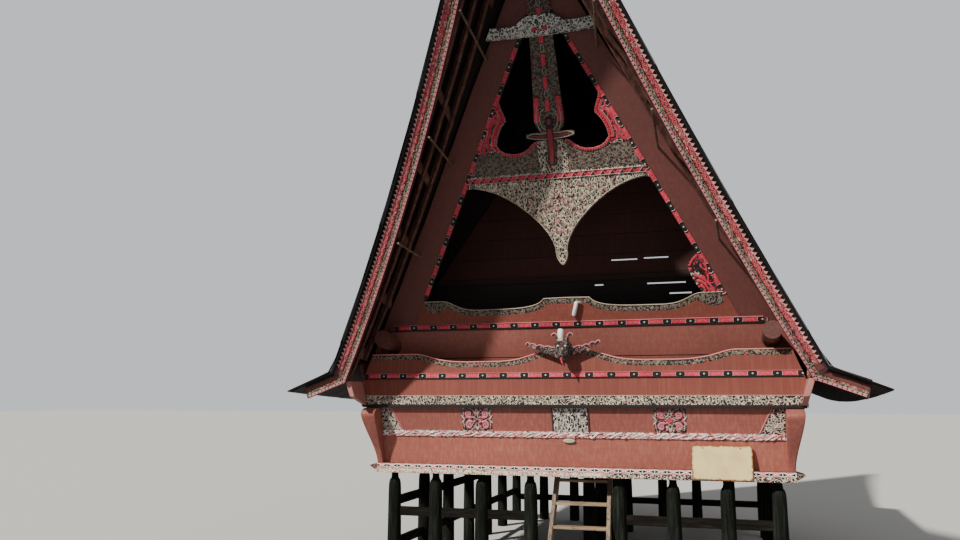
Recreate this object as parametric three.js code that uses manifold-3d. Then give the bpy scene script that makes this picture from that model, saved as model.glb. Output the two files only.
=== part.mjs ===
// A Toba Batak house: a timber box on posts, entered from below, under a saddle roof of
// corrugated sheets whose ridge climbs to a leaning gable at each end.
// Millimetres, +Z up. The origin is on the ground under the plan centre, the front looks along -Y,
// and the rear repeats the front plainly.
import * as THREE from "three";
import { mergeVertices } from "three/addons/utils/BufferGeometryUtils.js";
import Module from "manifold-3d";

const wasm = await Module();
wasm.setup();

// Clearance between pieces that touch.
const GAP = 0.3;

// Plan of the body: the front wall's foot stands FRONT in front of the plan centre.
const FRONT = 3800;

// Heights of the timber box.
const BEAM_BOTTOM = 1655;
const BEAM_TOP = 1790;
const FLOOR_TOP = 1832;
const MOULDING_BOTTOM = 2190;
const MOULDING_TOP = 2275;
const LEDGE_BOTTOM = 2620;
const LEDGE_TOP = 2780;

// Half-widths of the carved beam with its tier board, of the plank behind, and of the upper wall.
const LEDGE_HALF = 3120;
const LEDGE_PLANK_HALF = 3000;
const WALL_HALF = 3050;
const TIER_THICK = 40;

// Lower wall: it leans out of plumb by LOWER_LEAN and its foot is at LOWER_FOOT.
const LOWER_LEAN = 0.28;
const LOWER_FOOT = 1850;
const LOWER_THICK = 50;
const SIDE_LEAN = 0.2368;
const SIDE_FOOT_X = 2830;

// Gable plane: it leans forward and passes GABLE_FORWARD in front of the wall's foot at GABLE_SILL.
const GABLE_LEAN = 0.43;
const GABLE_SILL = 4160;
const GABLE_FORWARD = 280;
const GABLE_THICK = 40;
const GABLE_BOTTOM = 3740;
const OPENING_BOTTOM = 3830;
const OPENING_HALF = 2140;
const OPENING_SLOPE = 0.5575;
const CUT_PAST = 50;
const UPRIGHT_THICK = 50;
const CROSS_THICK = 45;
const PANEL_THICK = GABLE_THICK - 5;

// Barge boards: half-widths and forward reach above BARGE_DATUM.
const BARGE_DATUM = 2900;
const BARGE_OUTER = [3355, -0.5485, 5.6e-6];
const BARGE_INNER = [3195, -0.5649, 10.8e-6];
const BARGE_REACH = [764, 0.3127, 23.7e-6];
const BARGE_THICK = 50;
const BARGE_BEYOND = 90;
const KICK_FORWARD = 770;
const KINK_INNER = [3156, 2967];
const TIP_LOW = [3760, 2738];
const TIP_HIGH = [3812, 2960];
const KINK_OUTLINE = [[3345, 3190], [3200, 3120], [3104, 3060]];

// Roof: its outer face stands ROOF_PROUD beyond the barge boards' edge.
const ROOF_PROUD = 110;
const ROOF_FORWARD = 60;
const ROOF_KINK = 3145;
const ROOF_RIDGE = 9710;
const RIDGE_SAG = 2300;
const EAVE_SAG = 150;
const KICK_OUT = 690;
const KICK_DROP = 295;
const SHEET_TIP = 40;
const SHEET_KINK = 60;
const SHEET_RIDGE = 90;
const SLOPE_STEPS = 7;
const LENGTH_STEPS = 14;

// Posts and ties.
const POST_FOOT_R = 110;
const POST_TOP_R = 94;
const POST_NECK_R = 52;
const POST_SHOULDER = 1560;
const POST_ROUNDING = [70, 20, 12];
const POST_SIDES = 8;
const POST_INSET = 100;
const FRONT_POSTS = [630, 1360, 2065, 2720];
const SIDE_POST_PITCH = 1220;
const TIE_HEIGHTS = [420, 1020];
const TIE_SIZE = [60, 130];

// Timber finishes.
const BOARD = { color: 0x8a4a40, roughness: 0.62 };
const BOARD_DARK = { color: 0x6a3530, roughness: 0.68 };
const CARVED = { color: 0x8f8b80, roughness: 0.75 };
const CARVED_RED = { color: 0xb5505a, roughness: 0.7 };
const POST_WOOD = { color: 0x2e332f, roughness: 0.85 };
const PALE_WOOD = { color: 0x9a8263, roughness: 0.75 };
const SHEET = { color: 0x4d2a2b, roughness: 0.55 };
const PARCHMENT = { color: 0xd8c79a, roughness: 0.7 };

const house = new THREE.Group();

function addMesh(name, geometry, finish) {
  const material = new THREE.MeshStandardMaterial({ metalness: 0, ...finish });
  const mesh = new THREE.Mesh(geometry, material);
  mesh.name = name;
  house.add(mesh);
}

function toSolid(geometry) {
  const bare = geometry.clone();
  bare.deleteAttribute("normal");
  bare.deleteAttribute("uv");
  const merged = mergeVertices(bare, 1e-3);
  const triVerts = new Uint32Array(merged.index.array);
  const vertProperties = new Float32Array(merged.attributes.position.array);
  return new wasm.Manifold(new wasm.Mesh({ numProp: 3, vertProperties, triVerts }));
}

function toGeometry(solid) {
  const mesh = solid.getMesh();
  const geometry = new THREE.BufferGeometry();
  geometry.setAttribute("position", new THREE.BufferAttribute(mesh.vertProperties, 3));
  geometry.setIndex(new THREE.BufferAttribute(mesh.triVerts, 1));
  return geometry;
}

function union(solids) {
  return solids.reduce((sum, solid) => sum.add(solid));
}

function lerp(a, b, share) {
  return a + (b - a) * share;
}

// Turns the faces of a geometry over where a mirroring left them inside out.
function facingOut(geometry) {
  const p = geometry.attributes.position;
  const index = geometry.index.array;
  let volume = 0;
  const corner = (i) => new THREE.Vector3().fromBufferAttribute(p, index[i]);
  for (let i = 0; i < index.length; i += 3) {
    volume += corner(i).dot(corner(i + 1).cross(corner(i + 2)));
  }
  if (volume < 0) {
    for (let i = 0; i < index.length; i += 3) {
      [index[i + 1], index[i + 2]] = [index[i + 2], index[i + 1]];
    }
  }
  return geometry;
}

// A box of nu by nv by nw cells whose points are set by place(u, v, w), each from 0 to 1.
function bent(nu, nv, nw, place) {
  const geometry = new THREE.BoxGeometry(1, 1, 1, nu, nv, nw);
  const p = geometry.attributes.position;
  for (let i = 0; i < p.count; i += 1) {
    p.setXYZ(i, ...place(p.getX(i) + 0.5, p.getY(i) + 0.5, p.getZ(i) + 0.5));
  }
  return toSolid(facingOut(geometry));
}

function block(x, y, z) {
  const geometry = new THREE.BoxGeometry(x[1] - x[0], y[1] - y[0], z[1] - z[0]);
  geometry.translate((x[0] + x[1]) / 2, (y[0] + y[1]) / 2, (z[0] + z[1]) / 2);
  return toSolid(geometry);
}

// A plate cut to an outline drawn in X and Z, from depth yNear to yFar.
function plate(shape, yNear, yFar, curveSegments = 6) {
  const depth = yFar - yNear;
  const geometry = new THREE.ExtrudeGeometry(shape, { depth, bevelEnabled: false, curveSegments });
  geometry.rotateX(Math.PI / 2);
  geometry.translate(0, yFar, 0);
  return geometry;
}

function outline(points) {
  return new THREE.Shape(points.map(([x, z]) => new THREE.Vector2(x, z)));
}

// Front face of the gable plane at a height.
function gableY(z) {
  return -FRONT - GABLE_FORWARD - GABLE_LEAN * (z - GABLE_SILL);
}

// A plate in the leaning gable plane; near and far are depths behind its front face.
function gablePlate(shape, near, far, curveSegments) {
  const geometry = plate(shape, near, far, curveSegments);
  const p = geometry.attributes.position;
  for (let i = 0; i < p.count; i += 1) {
    p.setY(i, p.getY(i) + gableY(p.getZ(i)));
  }
  return toSolid(geometry);
}

// The rear repeats the front: a half turn about Z.
function turned(solid) {
  const geometry = toGeometry(solid);
  geometry.rotateZ(Math.PI);
  return toSolid(geometry);
}

function polynomial([a, b, c], h) {
  return a + b * h + c * h * h;
}

// Point on the roof's outer face, on the +X slope. s runs from kink to ridge, q from rear to front.
function slopePoint(s, q) {
  const z = lerp(ROOF_KINK, ROOF_RIDGE, s);
  const h = z - BARGE_DATUM;
  const x = s === 1 ? 0 : polynomial(BARGE_OUTER, h) + ROOF_PROUD;
  const reach = FRONT + ROOF_FORWARD + polynomial(BARGE_REACH, h);
  const sag = lerp(EAVE_SAG, RIDGE_SAG, s);
  return [x, -q * reach, z - sag * (1 - q * q)];
}

// The same, with the kicked eave as the first of the slope's steps.
function roofPoint(u, q) {
  const kickShare = 1 / SLOPE_STEPS;
  const kick = Math.max(0, 1 - u / kickShare);
  const s = Math.max(0, (u - kickShare) / (1 - kickShare));
  const [x, y, z] = slopePoint(s > 0.9999 ? 1 : s, q);
  return [x + kick * KICK_OUT, y, z - kick * KICK_DROP];
}

// Upright thickness of the sheets and their battens.
function sheetDepth(u) {
  const kickShare = 1 / SLOPE_STEPS;
  if (u < kickShare) return lerp(SHEET_TIP, SHEET_KINK, u / kickShare);
  return lerp(SHEET_KINK, SHEET_RIDGE, Math.min(1, (u - kickShare) / (2 * kickShare)));
}

function roofSlope(side) {
  return bent(SLOPE_STEPS, LENGTH_STEPS, 1, (u, v, w) => {
    const [x, y, z] = roofPoint(u, 2 * v - 1);
    return [side * (x + GAP / 2), y, z - (1 - w) * sheetDepth(u)];
  });
}

// All the space under the sheets, which trims what meets them from below.
function spaceUnder(side) {
  return bent(SLOPE_STEPS, LENGTH_STEPS, 1, (u, v, w) => {
    const [x, y, z] = roofPoint(u, 2 * v - 1);
    return [side * x, y, lerp(z - sheetDepth(u) - GAP, 0, w)];
  });
}

const underRoof = spaceUnder(1).add(spaceUnder(-1));

function ridgeCap() {
  const halfWidth = 130;
  const thick = 16;
  const drop = 0.75;
  return bent(2, LENGTH_STEPS, 1, (u, v, w) => {
    const [, y, z] = slopePoint(1, 2 * v - 1);
    const x = lerp(-halfWidth, halfWidth, u);
    return [x, y, z + GAP - drop * Math.abs(x) + w * thick];
  });
}

function post(x, y, extra = 0) {
  const [below, beside, above] = POST_ROUNDING;
  const profile = [
    [0, 0],
    [POST_FOOT_R + extra, 0],
    [POST_TOP_R + extra, POST_SHOULDER - below],
    [POST_NECK_R + beside + extra, POST_SHOULDER],
    [POST_NECK_R + extra, POST_SHOULDER + above],
    [POST_NECK_R + extra, BEAM_BOTTOM - GAP],
    [0, BEAM_BOTTOM - GAP],
  ].map(([r, z]) => new THREE.Vector2(r, z));
  const geometry = new THREE.LatheGeometry(profile, POST_SIDES);
  geometry.rotateX(Math.PI / 2);
  geometry.translate(x, y, 0);
  return toSolid(facingOut(geometry));
}

function tiesX(x0, x1, y) {
  const half = TIE_SIZE[0] / 2;
  return TIE_HEIGHTS.map((z) => block([x0, x1], [y - half, y + half], [z, z + TIE_SIZE[1]]));
}

function tiesY(x, y0, y1) {
  const half = TIE_SIZE[0] / 2;
  const above = 10;
  const lift = TIE_SIZE[1] + above;
  return TIE_HEIGHTS.map((z) => block([x - half, x + half], [y0, y1], [z + lift, z + lift + TIE_SIZE[1]]));
}

function frontPosts(side) {
  const y = -FRONT + POST_INSET;
  const posts = FRONT_POSTS.map((x) => post(side * x, y));
  const ends = [side * FRONT_POSTS[0], side * FRONT_POSTS[3]].sort((a, b) => a - b);
  return union([...posts, ...tiesX(ends[0], ends[1], y)]);
}

function rearPosts() {
  const y = FRONT - POST_INSET;
  const places = FRONT_POSTS.flatMap((x) => [-x, x]);
  const end = FRONT_POSTS[3];
  return union([...places.map((x) => post(x, y)), ...tiesX(-end, end, y)]);
}

// A row along the house; its ties run into the corner posts of the front and rear rows.
function sidePosts(x) {
  const rows = [-2, -1, 0, 1, 2];
  const corner = FRONT - POST_INSET;
  const row = union([...rows.map((i) => post(x, i * SIDE_POST_PITCH)), ...tiesY(x, -corner, corner)]);
  return row.subtract(post(x, -corner, GAP)).subtract(post(x, corner, GAP));
}

function middlePosts() {
  const end = 2 * SIDE_POST_PITCH;
  const rows = [-2, -1, 0, 1, 2];
  return union([...rows.map((i) => post(0, i * SIDE_POST_PITCH)), ...tiesY(0, -end, end)]);
}

const SILL_PROUD = 100;
const SILL_DEPTH = [-FRONT - SILL_PROUD, -FRONT + 220];

// The sill beam is a wide plank on edge with an upturned point at each end.
function sillBeam() {
  const tip = [3050, BEAM_BOTTOM + 100];
  const shape = new THREE.Shape();
  shape.moveTo(-2780, BEAM_BOTTOM);
  shape.lineTo(2780, BEAM_BOTTOM);
  shape.quadraticCurveTo(2950, BEAM_BOTTOM + 10, tip[0], tip[1]);
  shape.quadraticCurveTo(2990, BEAM_TOP - 12, 2930, BEAM_TOP);
  shape.lineTo(-2930, BEAM_TOP);
  shape.quadraticCurveTo(-2990, BEAM_TOP - 12, -tip[0], tip[1]);
  shape.quadraticCurveTo(-2950, BEAM_BOTTOM + 10, -2780, BEAM_BOTTOM);
  return toSolid(plate(shape, SILL_DEPTH[0], SILL_DEPTH[1]));
}

// The hatch lies a little right of the middle, above the ladder.
const LADDER_X = 85;
const HATCH = { halfWidth: 350, near: 300, far: 1150 };
const FLOOR_HALF = [2800, FRONT - 70];

function floorDeck() {
  const [x, y] = FLOOR_HALF;
  const deck = block([-x, x], [-y, y], [BEAM_TOP + GAP, FLOOR_TOP]);
  const half = HATCH.halfWidth;
  const hatchY = [-FRONT + HATCH.near, -FRONT + HATCH.far];
  const hatch = block([LADDER_X - half, LADDER_X + half], hatchY, [BEAM_BOTTOM, FLOOR_TOP + CUT_PAST]);
  return deck.subtract(hatch);
}

function floorBeam(x, halfWidth, y0, y1) {
  return block([x - halfWidth, x + halfWidth], [y0, y1], [BEAM_BOTTOM, BEAM_TOP]);
}

// A ladder of two plank rails and flat treads, from the ground up to the hatch.
function ladder() {
  const foot = -FRONT - 470;
  const head = -FRONT + 500;
  const railDepth = 170;
  const railThick = 55;
  const insideFoot = 395;
  const insideHead = 352;
  const treadPitch = 305;
  const treadFirst = 330;
  const treadThick = 42;
  const treadDepth = 120;
  const housed = 10;
  const slope = (head - foot) / BEAM_TOP;
  const below = 100;
  const inside = (z) => lerp(insideFoot, insideHead, z / BEAM_TOP);
  const rail = (side) => bent(1, 1, 1, (u, v, w) => {
    const z = lerp(-below, BEAM_TOP, w);
    const x = inside(z) + u * railThick;
    return [LADDER_X + side * x, foot + slope * z + (v - 0.5) * railDepth, z];
  });
  const treads = [0, 1, 2, 3, 4].map((i) => {
    const z = treadFirst + i * treadPitch;
    const y = foot + slope * z;
    const half = inside(z) + housed;
    const depth = [y - treadDepth / 2, y + treadDepth / 2];
    return block([LADDER_X - half, LADDER_X + half], depth, [z, z + treadThick]);
  });
  const room = block([-FRONT, FRONT], [foot - railDepth, head + railDepth], [0, BEAM_TOP]);
  return union([rail(1), rail(-1), ...treads]).intersect(room);
}

function lowerY(z) {
  return -FRONT - LOWER_LEAN * (z - LOWER_FOOT);
}

function sideX(z) {
  return SIDE_FOOT_X + SIDE_LEAN * (z - BEAM_TOP);
}

// A board of the leaning lower front, from z0 to z1, standing proud of the wall's face.
function lowerBoard(z0, z1, proud) {
  return bent(1, 1, 1, (u, v, w) => {
    const z = lerp(z0 + GAP, z1, w);
    const x = sideX(z) + LOWER_THICK;
    return [lerp(-x, x, u), lowerY(z) + lerp(-proud, LOWER_THICK, v), z];
  });
}

// The strip between lower plank and panel band stands proud of the wall between the corner planks.
function moulding(z0, z1) {
  const proud = 14;
  const half = SIDE_FOOT_X - 10;
  const strip = lowerBoard(z0, z1, proud).intersect(block([-half, half], [-2 * FRONT, 0], [z0, z1]));
  return lowerBoard(z0, z1, 0).add(strip);
}

const LEDGE_NEAR = -FRONT - GABLE_FORWARD;
const LEDGE_BACK = -FRONT - 165;

// The carved beam that closes the lower wall, with the plank behind it that carries the upper wall.
function ledge() {
  const plankThick = 40;
  const plankBack = -FRONT + 400;
  const half = LEDGE_PLANK_HALF;
  const carved = block([-LEDGE_HALF, LEDGE_HALF], [LEDGE_NEAR, LEDGE_BACK], [LEDGE_BOTTOM, LEDGE_TOP]);
  const plank = block([-half, half], [LEDGE_BACK - 1, plankBack], [LEDGE_TOP - plankThick, LEDGE_TOP]);
  return carved.add(plank);
}

// A board whose top edge dips on each side of a raised middle.
function tierBoard() {
  const bottom = LEDGE_TOP + GAP;
  const half = (s) => [
    ["line", s * 2955, 3390],
    ["line", s * 2260, 3390],
    ["curve", s * 2060, 3385, s * 1980, 3272, s * 1500, 3268],
    ["line", s * 980, 3270],
    ["curve", s * 520, 3280, s * 430, 3452, 0, 3460],
  ];
  const end = [LEDGE_HALF, 2950];
  const shape = new THREE.Shape();
  shape.moveTo(0, bottom);
  shape.lineTo(end[0], bottom);
  shape.lineTo(...end);
  drawPath(shape, half(1));
  const left = drawnPoints(half(-1), [-end[0], end[1]]).reverse();
  left.forEach(([x, z]) => shape.lineTo(x, z));
  shape.lineTo(-end[0], bottom);
  return toSolid(plate(shape, LEDGE_NEAR, LEDGE_NEAR + TIER_THICK));
}

function drawPath(path, steps) {
  steps.forEach(([kind, ...values]) => {
    if (kind === "line") path.lineTo(...values);
    else path.bezierCurveTo(...values);
  });
}

function drawnPoints(steps, start) {
  const path = new THREE.Path();
  path.moveTo(...start);
  drawPath(path, steps);
  return path.getPoints(6).map((p) => [p.x, p.y]);
}

// The recessed wall under the gable, through which the eave logs pass.
function upperWall() {
  const half = WALL_HALF;
  const z = [LEDGE_TOP + GAP, GABLE_BOTTOM - GAP];
  const shape = outline([[-half, z[0]], [half, z[0]], [half, z[1]], [-half, z[1]]]);
  return gablePlate(shape, 0, GABLE_THICK)
    .intersect(underRoof)
    .subtract(eaveLog(1, GAP))
    .subtract(eaveLog(-1, GAP));
}

function openingHalf(z) {
  return OPENING_HALF - OPENING_SLOPE * (z - GABLE_SILL);
}

const OPENING_APEX = GABLE_SILL + OPENING_HALF / OPENING_SLOPE;

function openingShape(inset) {
  const half = openingHalf(OPENING_BOTTOM) - inset;
  const apex = OPENING_APEX - inset / OPENING_SLOPE;
  return outline([[-half, OPENING_BOTTOM], [half, OPENING_BOTTOM], [0, apex]]);
}

// The leaning gable wall round its triangular opening.
function gableWall() {
  const half = WALL_HALF;
  const top = ROOF_RIDGE;
  const shape = outline([[-half, GABLE_BOTTOM], [half, GABLE_BOTTOM], [half, top], [-half, top]]);
  const opening = gablePlate(openingShape(0), -CUT_PAST, GABLE_THICK + CUT_PAST);
  return gablePlate(shape, 0, GABLE_THICK)
    .intersect(underRoof)
    .subtract(opening)
    .subtract(eaveLog(1, GAP))
    .subtract(eaveLog(-1, GAP));
}

// The shaped board that closes the foot of the opening.
function sillBoard() {
  const bottom = OPENING_BOTTOM + GAP;
  const end = openingHalf(bottom) - GAP;
  const right = [
    ["line", 2139, 4160],
    ["line", 1850, 4158],
    ["curve", 1680, 4150, 1660, 4030, 1350, 4022],
    ["line", 900, 4024],
    ["curve", 560, 4030, 400, 4060, 330, 4150],
    ["line", 0, 4156],
  ];
  const points = drawnPoints(right, [end, bottom]);
  const mirrored = points.slice(0, -1).reverse().map(([x, z]) => [-x, z]);
  return gablePlate(outline([...points, ...mirrored]), 0, GABLE_THICK);
}

// Scalloped panel across the opening, with side curls above and a pointed skirt hanging below.
function carvedPanel() {
  const right = [
    ["curve", 70, 4640, 90, 4700, 85, 4790],
    ["curve", 90, 4880, 160, 5020, 290, 5160],
    ["curve", 520, 5400, 830, 5610, 1180, 5660],
    ["line", 1420, 5640],
    ["line", 1420, 6700],
    ["line", 680, 6780],
    ["curve", 690, 6640, 600, 6560, 610, 6480],
    ["curve", 700, 6400, 760, 6300, 770, 6180],
    ["curve", 700, 6020, 420, 6030, 330, 6110],
    ["curve", 280, 6150, 250, 6190, 180, 6190],
    ["line", 0, 6190],
  ];
  const points = drawnPoints(right, [0, 4575]);
  const mirrored = points.slice(1, -1).reverse().map(([x, z]) => [-x, z]);
  const inside = gablePlate(openingShape(GAP), -CUT_PAST, GABLE_THICK + CUT_PAST);
  return gablePlate(outline([...points, ...mirrored]), 0, PANEL_THICK).intersect(inside);
}

// Carving that fills the lower right corner of the opening; its fellow on the left is gone.
function cornerCarving() {
  const foot = GABLE_SILL + GAP;
  const edge = [
    ["curve", 1820, 4200, 1770, 4290, 1720, 4400],
    ["curve", 1690, 4470, 1690, 4510, 1700, 4545],
    ["line", 1808, 4647],
    ["line", 1852, 4690],
    ["line", 2200, 4690],
    ["line", 2200, foot],
  ];
  const inside = gablePlate(openingShape(GAP), -CUT_PAST, GABLE_THICK + CUT_PAST);
  const points = drawnPoints(edge, [1876, foot]);
  return gablePlate(outline(points), 0, PANEL_THICK).intersect(inside);
}

// Carved upright on the panel, running to the gable's top, with a foot and two short arms.
function finialBoard() {
  const right = [
    ["line", 50, 5870],
    ["line", 70, 6190],
    ["line", 330, 6225],
    ["line", 330, 6275],
    ["line", 120, 6285],
    ["curve", 230, 6330, 215, 6480, 190, 6660],
    ["line", 155, 7460],
    ["line", 145, 7860],
    ["line", 0, 7860],
  ];
  const points = drawnPoints(right, [0, 5870]);
  const mirrored = points.slice(1, -1).reverse().map(([x, z]) => [-x, z]);
  return gablePlate(outline([...points, ...mirrored]), -UPRIGHT_THICK, -GAP);
}

// Wavy board across the gable's head, on the face of the upright.
function crossBoard() {
  const top = [
    ["line", 900, 7440],
    ["line", 890, 7590],
    ["curve", 620, 7570, 540, 7540, 320, 7560],
    ["curve", 200, 7660, 150, 7660, 0, 7655],
  ];
  const points = drawnPoints(top, [0, 7420]);
  const mirrored = points.slice(1, -1).reverse().map(([x, z]) => [-x, z]);
  const back = -UPRIGHT_THICK - GAP;
  return gablePlate(outline([...points, ...mirrored]), back - CROSS_THICK, back).intersect(underRoof);
}

// Plank wall a short way inside the opening, its lowest planks set back behind the others, with
// daylight slits between planks on the right.
function innerWall() {
  const thick = 40;
  const y = -FRONT + 600;
  const back = y + thick - 1;
  const cut = [y - CUT_PAST, back + thick + CUT_PAST];
  const slitHeight = 24;
  const upper = block([-WALL_HALF, WALL_HALF], [y, y + thick], [4500, 6650]);
  const lower = block([-WALL_HALF, WALL_HALF], [back, back + thick], [3950, 4560]);
  const wall = upper.add(lower).intersect(underRoof);
  const slits = [
    [530, 920, 4790],
    [1015, 1375, 4800],
    [265, 400, 4425],
    [1050, 1610, 4420],
    [1370, 1690, 4262],
  ];
  return slits.reduce((solid, [x0, x1, foot]) => {
    return solid.subtract(block([x0, x1], cut, [foot, foot + slitHeight]));
  }, wall);
}

const LOG_X = 2720;

// A log along the eave, bowed so that its ends climb with the roof and stand out of the gables.
function eaveLog(side, extra = 0) {
  const x = LOG_X;
  const endY = FRONT + 480;
  const endZ = 3615;
  const middleZ = 3244;
  const radius = 122;
  const path = new THREE.QuadraticBezierCurve3(
    new THREE.Vector3(side * x, -endY, endZ),
    new THREE.Vector3(side * x, 0, 2 * middleZ - endZ),
    new THREE.Vector3(side * x, endY, endZ),
  );
  const section = new THREE.Shape().absarc(0, 0, radius + extra, 0, 2 * Math.PI);
  const geometry = new THREE.ExtrudeGeometry(section, { extrudePath: path, steps: 10, curveSegments: 12 });
  return toSolid(geometry).intersect(underRoof);
}

// Side wall: it leans outwards and is trimmed by the roof.
function sideWall(side) {
  const frontEnd = (z) => Math.max(lowerY(z) + LOWER_THICK, LEDGE_BACK) + GAP;
  const pastRoof = 3450;
  const levels = [BEAM_TOP + GAP, LEDGE_BOTTOM, pastRoof];
  return bent(1, 1, 2, (u, v, w) => {
    const z = levels[Math.round(2 * w)];
    const end = z > LEDGE_BOTTOM ? LEDGE_BACK + GAP : frontEnd(z);
    return [side * (sideX(z) + u * LOWER_THICK), lerp(end, -end, v), z];
  }).intersect(underRoof);
}

// Paddle-shaped plank that stands at each corner, swelling forwards and outwards to a rounded head.
function cornerPlank(side) {
  const foot = BEAM_TOP + GAP;
  const head = 2600;
  const middles = [2890, 2950];
  const halfWidths = [45, 118];
  const depths = [95, 270];
  const narrowing = 0.8;
  const steps = 8;
  const round = 0.86;
  return bent(1, 1, steps, (u, v, w) => {
    const z = lerp(foot, head, w);
    const swell = w * w * (3 - 2 * w);
    const shoulder = w > round ? Math.sqrt(1 - ((w - round) / (1 - round)) ** 2 * narrowing) : 1;
    const middle = lerp(...middles, swell);
    const halfWidth = lerp(...halfWidths, swell) * lerp(narrowing, 1, shoulder);
    const back = lowerY(z) - GAP;
    const depth = lerp(...depths, swell) * shoulder;
    return [side * (middle + (2 * u - 1) * halfWidth), back - (1 - v) * depth, z];
  });
}

// Short tapered bracket between the carved beam's end and the barge board's kink.
function eaveBracket(side) {
  const back = LEDGE_NEAR - GAP;
  const near = -FRONT - KICK_FORWARD + BARGE_THICK + GAP;
  const bottoms = [2760, 2640];
  const top = 2990;
  const footX = [2990, 3100];
  const headX = [2965, 3185];
  return bent(1, 1, 1, (u, v, w) => {
    const z = lerp(lerp(...bottoms, v), top, w);
    const x = lerp(...(w === 0 ? footX : headX), u);
    return [side * x, lerp(near, back, v), z];
  }).intersect(underRoof);
}

function bargeSide(side) {
  const foot = [62, 200];
  const head = [6540, 6790];
  const board = bent(1, 12, 1, (u, v, w) => {
    const h = lerp(foot[u], head[u], v);
    const x = u === 0 ? polynomial(BARGE_INNER, h) : polynomial(BARGE_OUTER, h) + BARGE_BEYOND;
    const z = BARGE_DATUM + h;
    return [side * x, bargeY(z) + w * BARGE_THICK, z];
  });
  const y = -FRONT - KICK_FORWARD;
  const kickOutline = [KINK_INNER, TIP_LOW, TIP_HIGH, ...KINK_OUTLINE].map(([x, z]) => [side * x, z]);
  const kicked = toSolid(facingOut(indexed(plate(outline(kickOutline), y, y + BARGE_THICK))));
  return board.add(kicked);
}

function indexed(geometry) {
  const bare = geometry.clone();
  bare.deleteAttribute("normal");
  bare.deleteAttribute("uv");
  return mergeVertices(bare, 1e-3);
}

function bargeBoards() {
  return bargeSide(1).add(bargeSide(-1)).intersect(underRoof);
}

// Front face of the barge boards at a height.
function bargeY(z) {
  return -FRONT - polynomial(BARGE_REACH, z - BARGE_DATUM);
}

// The roof's outer face on the course s of the slope at depth y, as [x, z].
function courseAt(s, y) {
  const h = lerp(ROOF_KINK, ROOF_RIDGE, s) - BARGE_DATUM;
  const reach = FRONT + ROOF_FORWARD + polynomial(BARGE_REACH, h);
  const [x, , z] = slopePoint(s, -y / reach);
  return [x, z];
}

// Depth on course s that lies offset behind the barge board, measured drop below the roof's face.
function behindBarge(s, offset, drop) {
  const rounds = 8;
  let y = bargeY(lerp(ROOF_KINK, ROOF_RIDGE, s)) + offset;
  for (let i = 0; i < rounds; i += 1) {
    y = bargeY(courseAt(s, y)[1] - drop) + offset;
  }
  return y;
}

// Rafters and battens under the overhang, between the barge boards and the gable wall.
function overhangFrame() {
  const rafters = [[212, 0.01], [430, 0.01], [660, 0.075]];
  const width = 70;
  const rafterDrop = SHEET_RIDGE + 160;
  const battenDrop = SHEET_RIDGE + 80;
  const steps = 6;
  const battens = [0.07, 0.2, 0.33, 0.46, 0.59, 0.82];
  const battenHalf = 0.006;
  const head = 1.006;
  const battenClear = 1;
  const rafter = (side, offset, foot) => bent(1, steps, 1, (u, v, w) => {
    const s = lerp(foot, head, v);
    const y = behindBarge(s, offset, SHEET_RIDGE) + (u - 0.5) * width;
    const [x, z] = courseAt(s, y);
    return [side * x, y, z - lerp(rafterDrop, 0, w)];
  });
  const batten = (side, middle) => bent(1, 1, 1, (u, v, w) => {
    const s = middle + (2 * u - 1) * battenHalf;
    const near = behindBarge(s, BARGE_THICK + battenClear, battenDrop);
    const far = Math.min(gableY(courseAt(s, near)[1]), LEDGE_BACK) - 2;
    const y = lerp(near, far, v);
    const [x, z] = courseAt(s, y);
    return [side * x, y, z - lerp(battenDrop, 0, w)];
  });
  const pieces = [1, -1].flatMap((side) => [
    ...rafters.map(([offset, foot]) => rafter(side, offset, foot)),
    ...battens.map((s) => batten(side, s)),
  ]);
  return union(pieces)
    .intersect(underRoof)
    .subtract(eaveLog(1, GAP))
    .subtract(eaveLog(-1, GAP));
}

// Carved beast's head on the tier board: snout, brow, two curled ears and wavy horns.
function maskHead() {
  const centre = [0, LEDGE_NEAR - 130, 3440];
  const skullSize = [95, 130, 130];
  const snoutSize = [55, 90, 130];
  const snoutAt = [0, centre[1] - 90, centre[2] - 140];
  const hornNear = centre[1] - 20;
  const hornThick = 60;
  const earAt = [95, centre[1] + 10, centre[2] + 140];
  const earTurn = 0.55;
  const skull = new THREE.SphereGeometry(1, 12, 8);
  skull.scale(...skullSize);
  skull.translate(...centre);
  const snout = new THREE.SphereGeometry(1, 10, 6);
  snout.scale(...snoutSize);
  snout.translate(...snoutAt);
  const horn = (side) => {
    const points = [
      [0, 3400],
      [180, 3470],
      [330, 3480],
      [430, 3510],
      [520, 3500],
      [540, 3560],
      [440, 3575],
      [330, 3545],
      [180, 3545],
      [0, 3500],
    ].map(([x, z]) => [side * x, z]);
    return toSolid(facingOut(indexed(plate(outline(points), hornNear, hornNear + hornThick))));
  };
  const ear = (side) => {
    const geometry = new THREE.CylinderGeometry(22, 42, 190, 8);
    geometry.rotateX(Math.PI / 2);
    geometry.rotateY(side * earTurn);
    geometry.translate(side * earAt[0], earAt[1], earAt[2]);
    return toSolid(geometry);
  };
  const wallRoom = block([-700, 700], [LEDGE_NEAR - 700, LEDGE_NEAR - GAP], [3000, 3900]);
  const parts = [toSolid(indexed(skull)), toSolid(indexed(snout)), horn(1), horn(-1), ear(1), ear(-1)];
  return union(parts).intersect(wallRoom);
}

function signBoard() {
  const y = -FRONT - SILL_PROUD - GAP;
  const thick = 20;
  return block([1630, 2410], [y - thick, y], [1668, 2120]);
}

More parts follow.
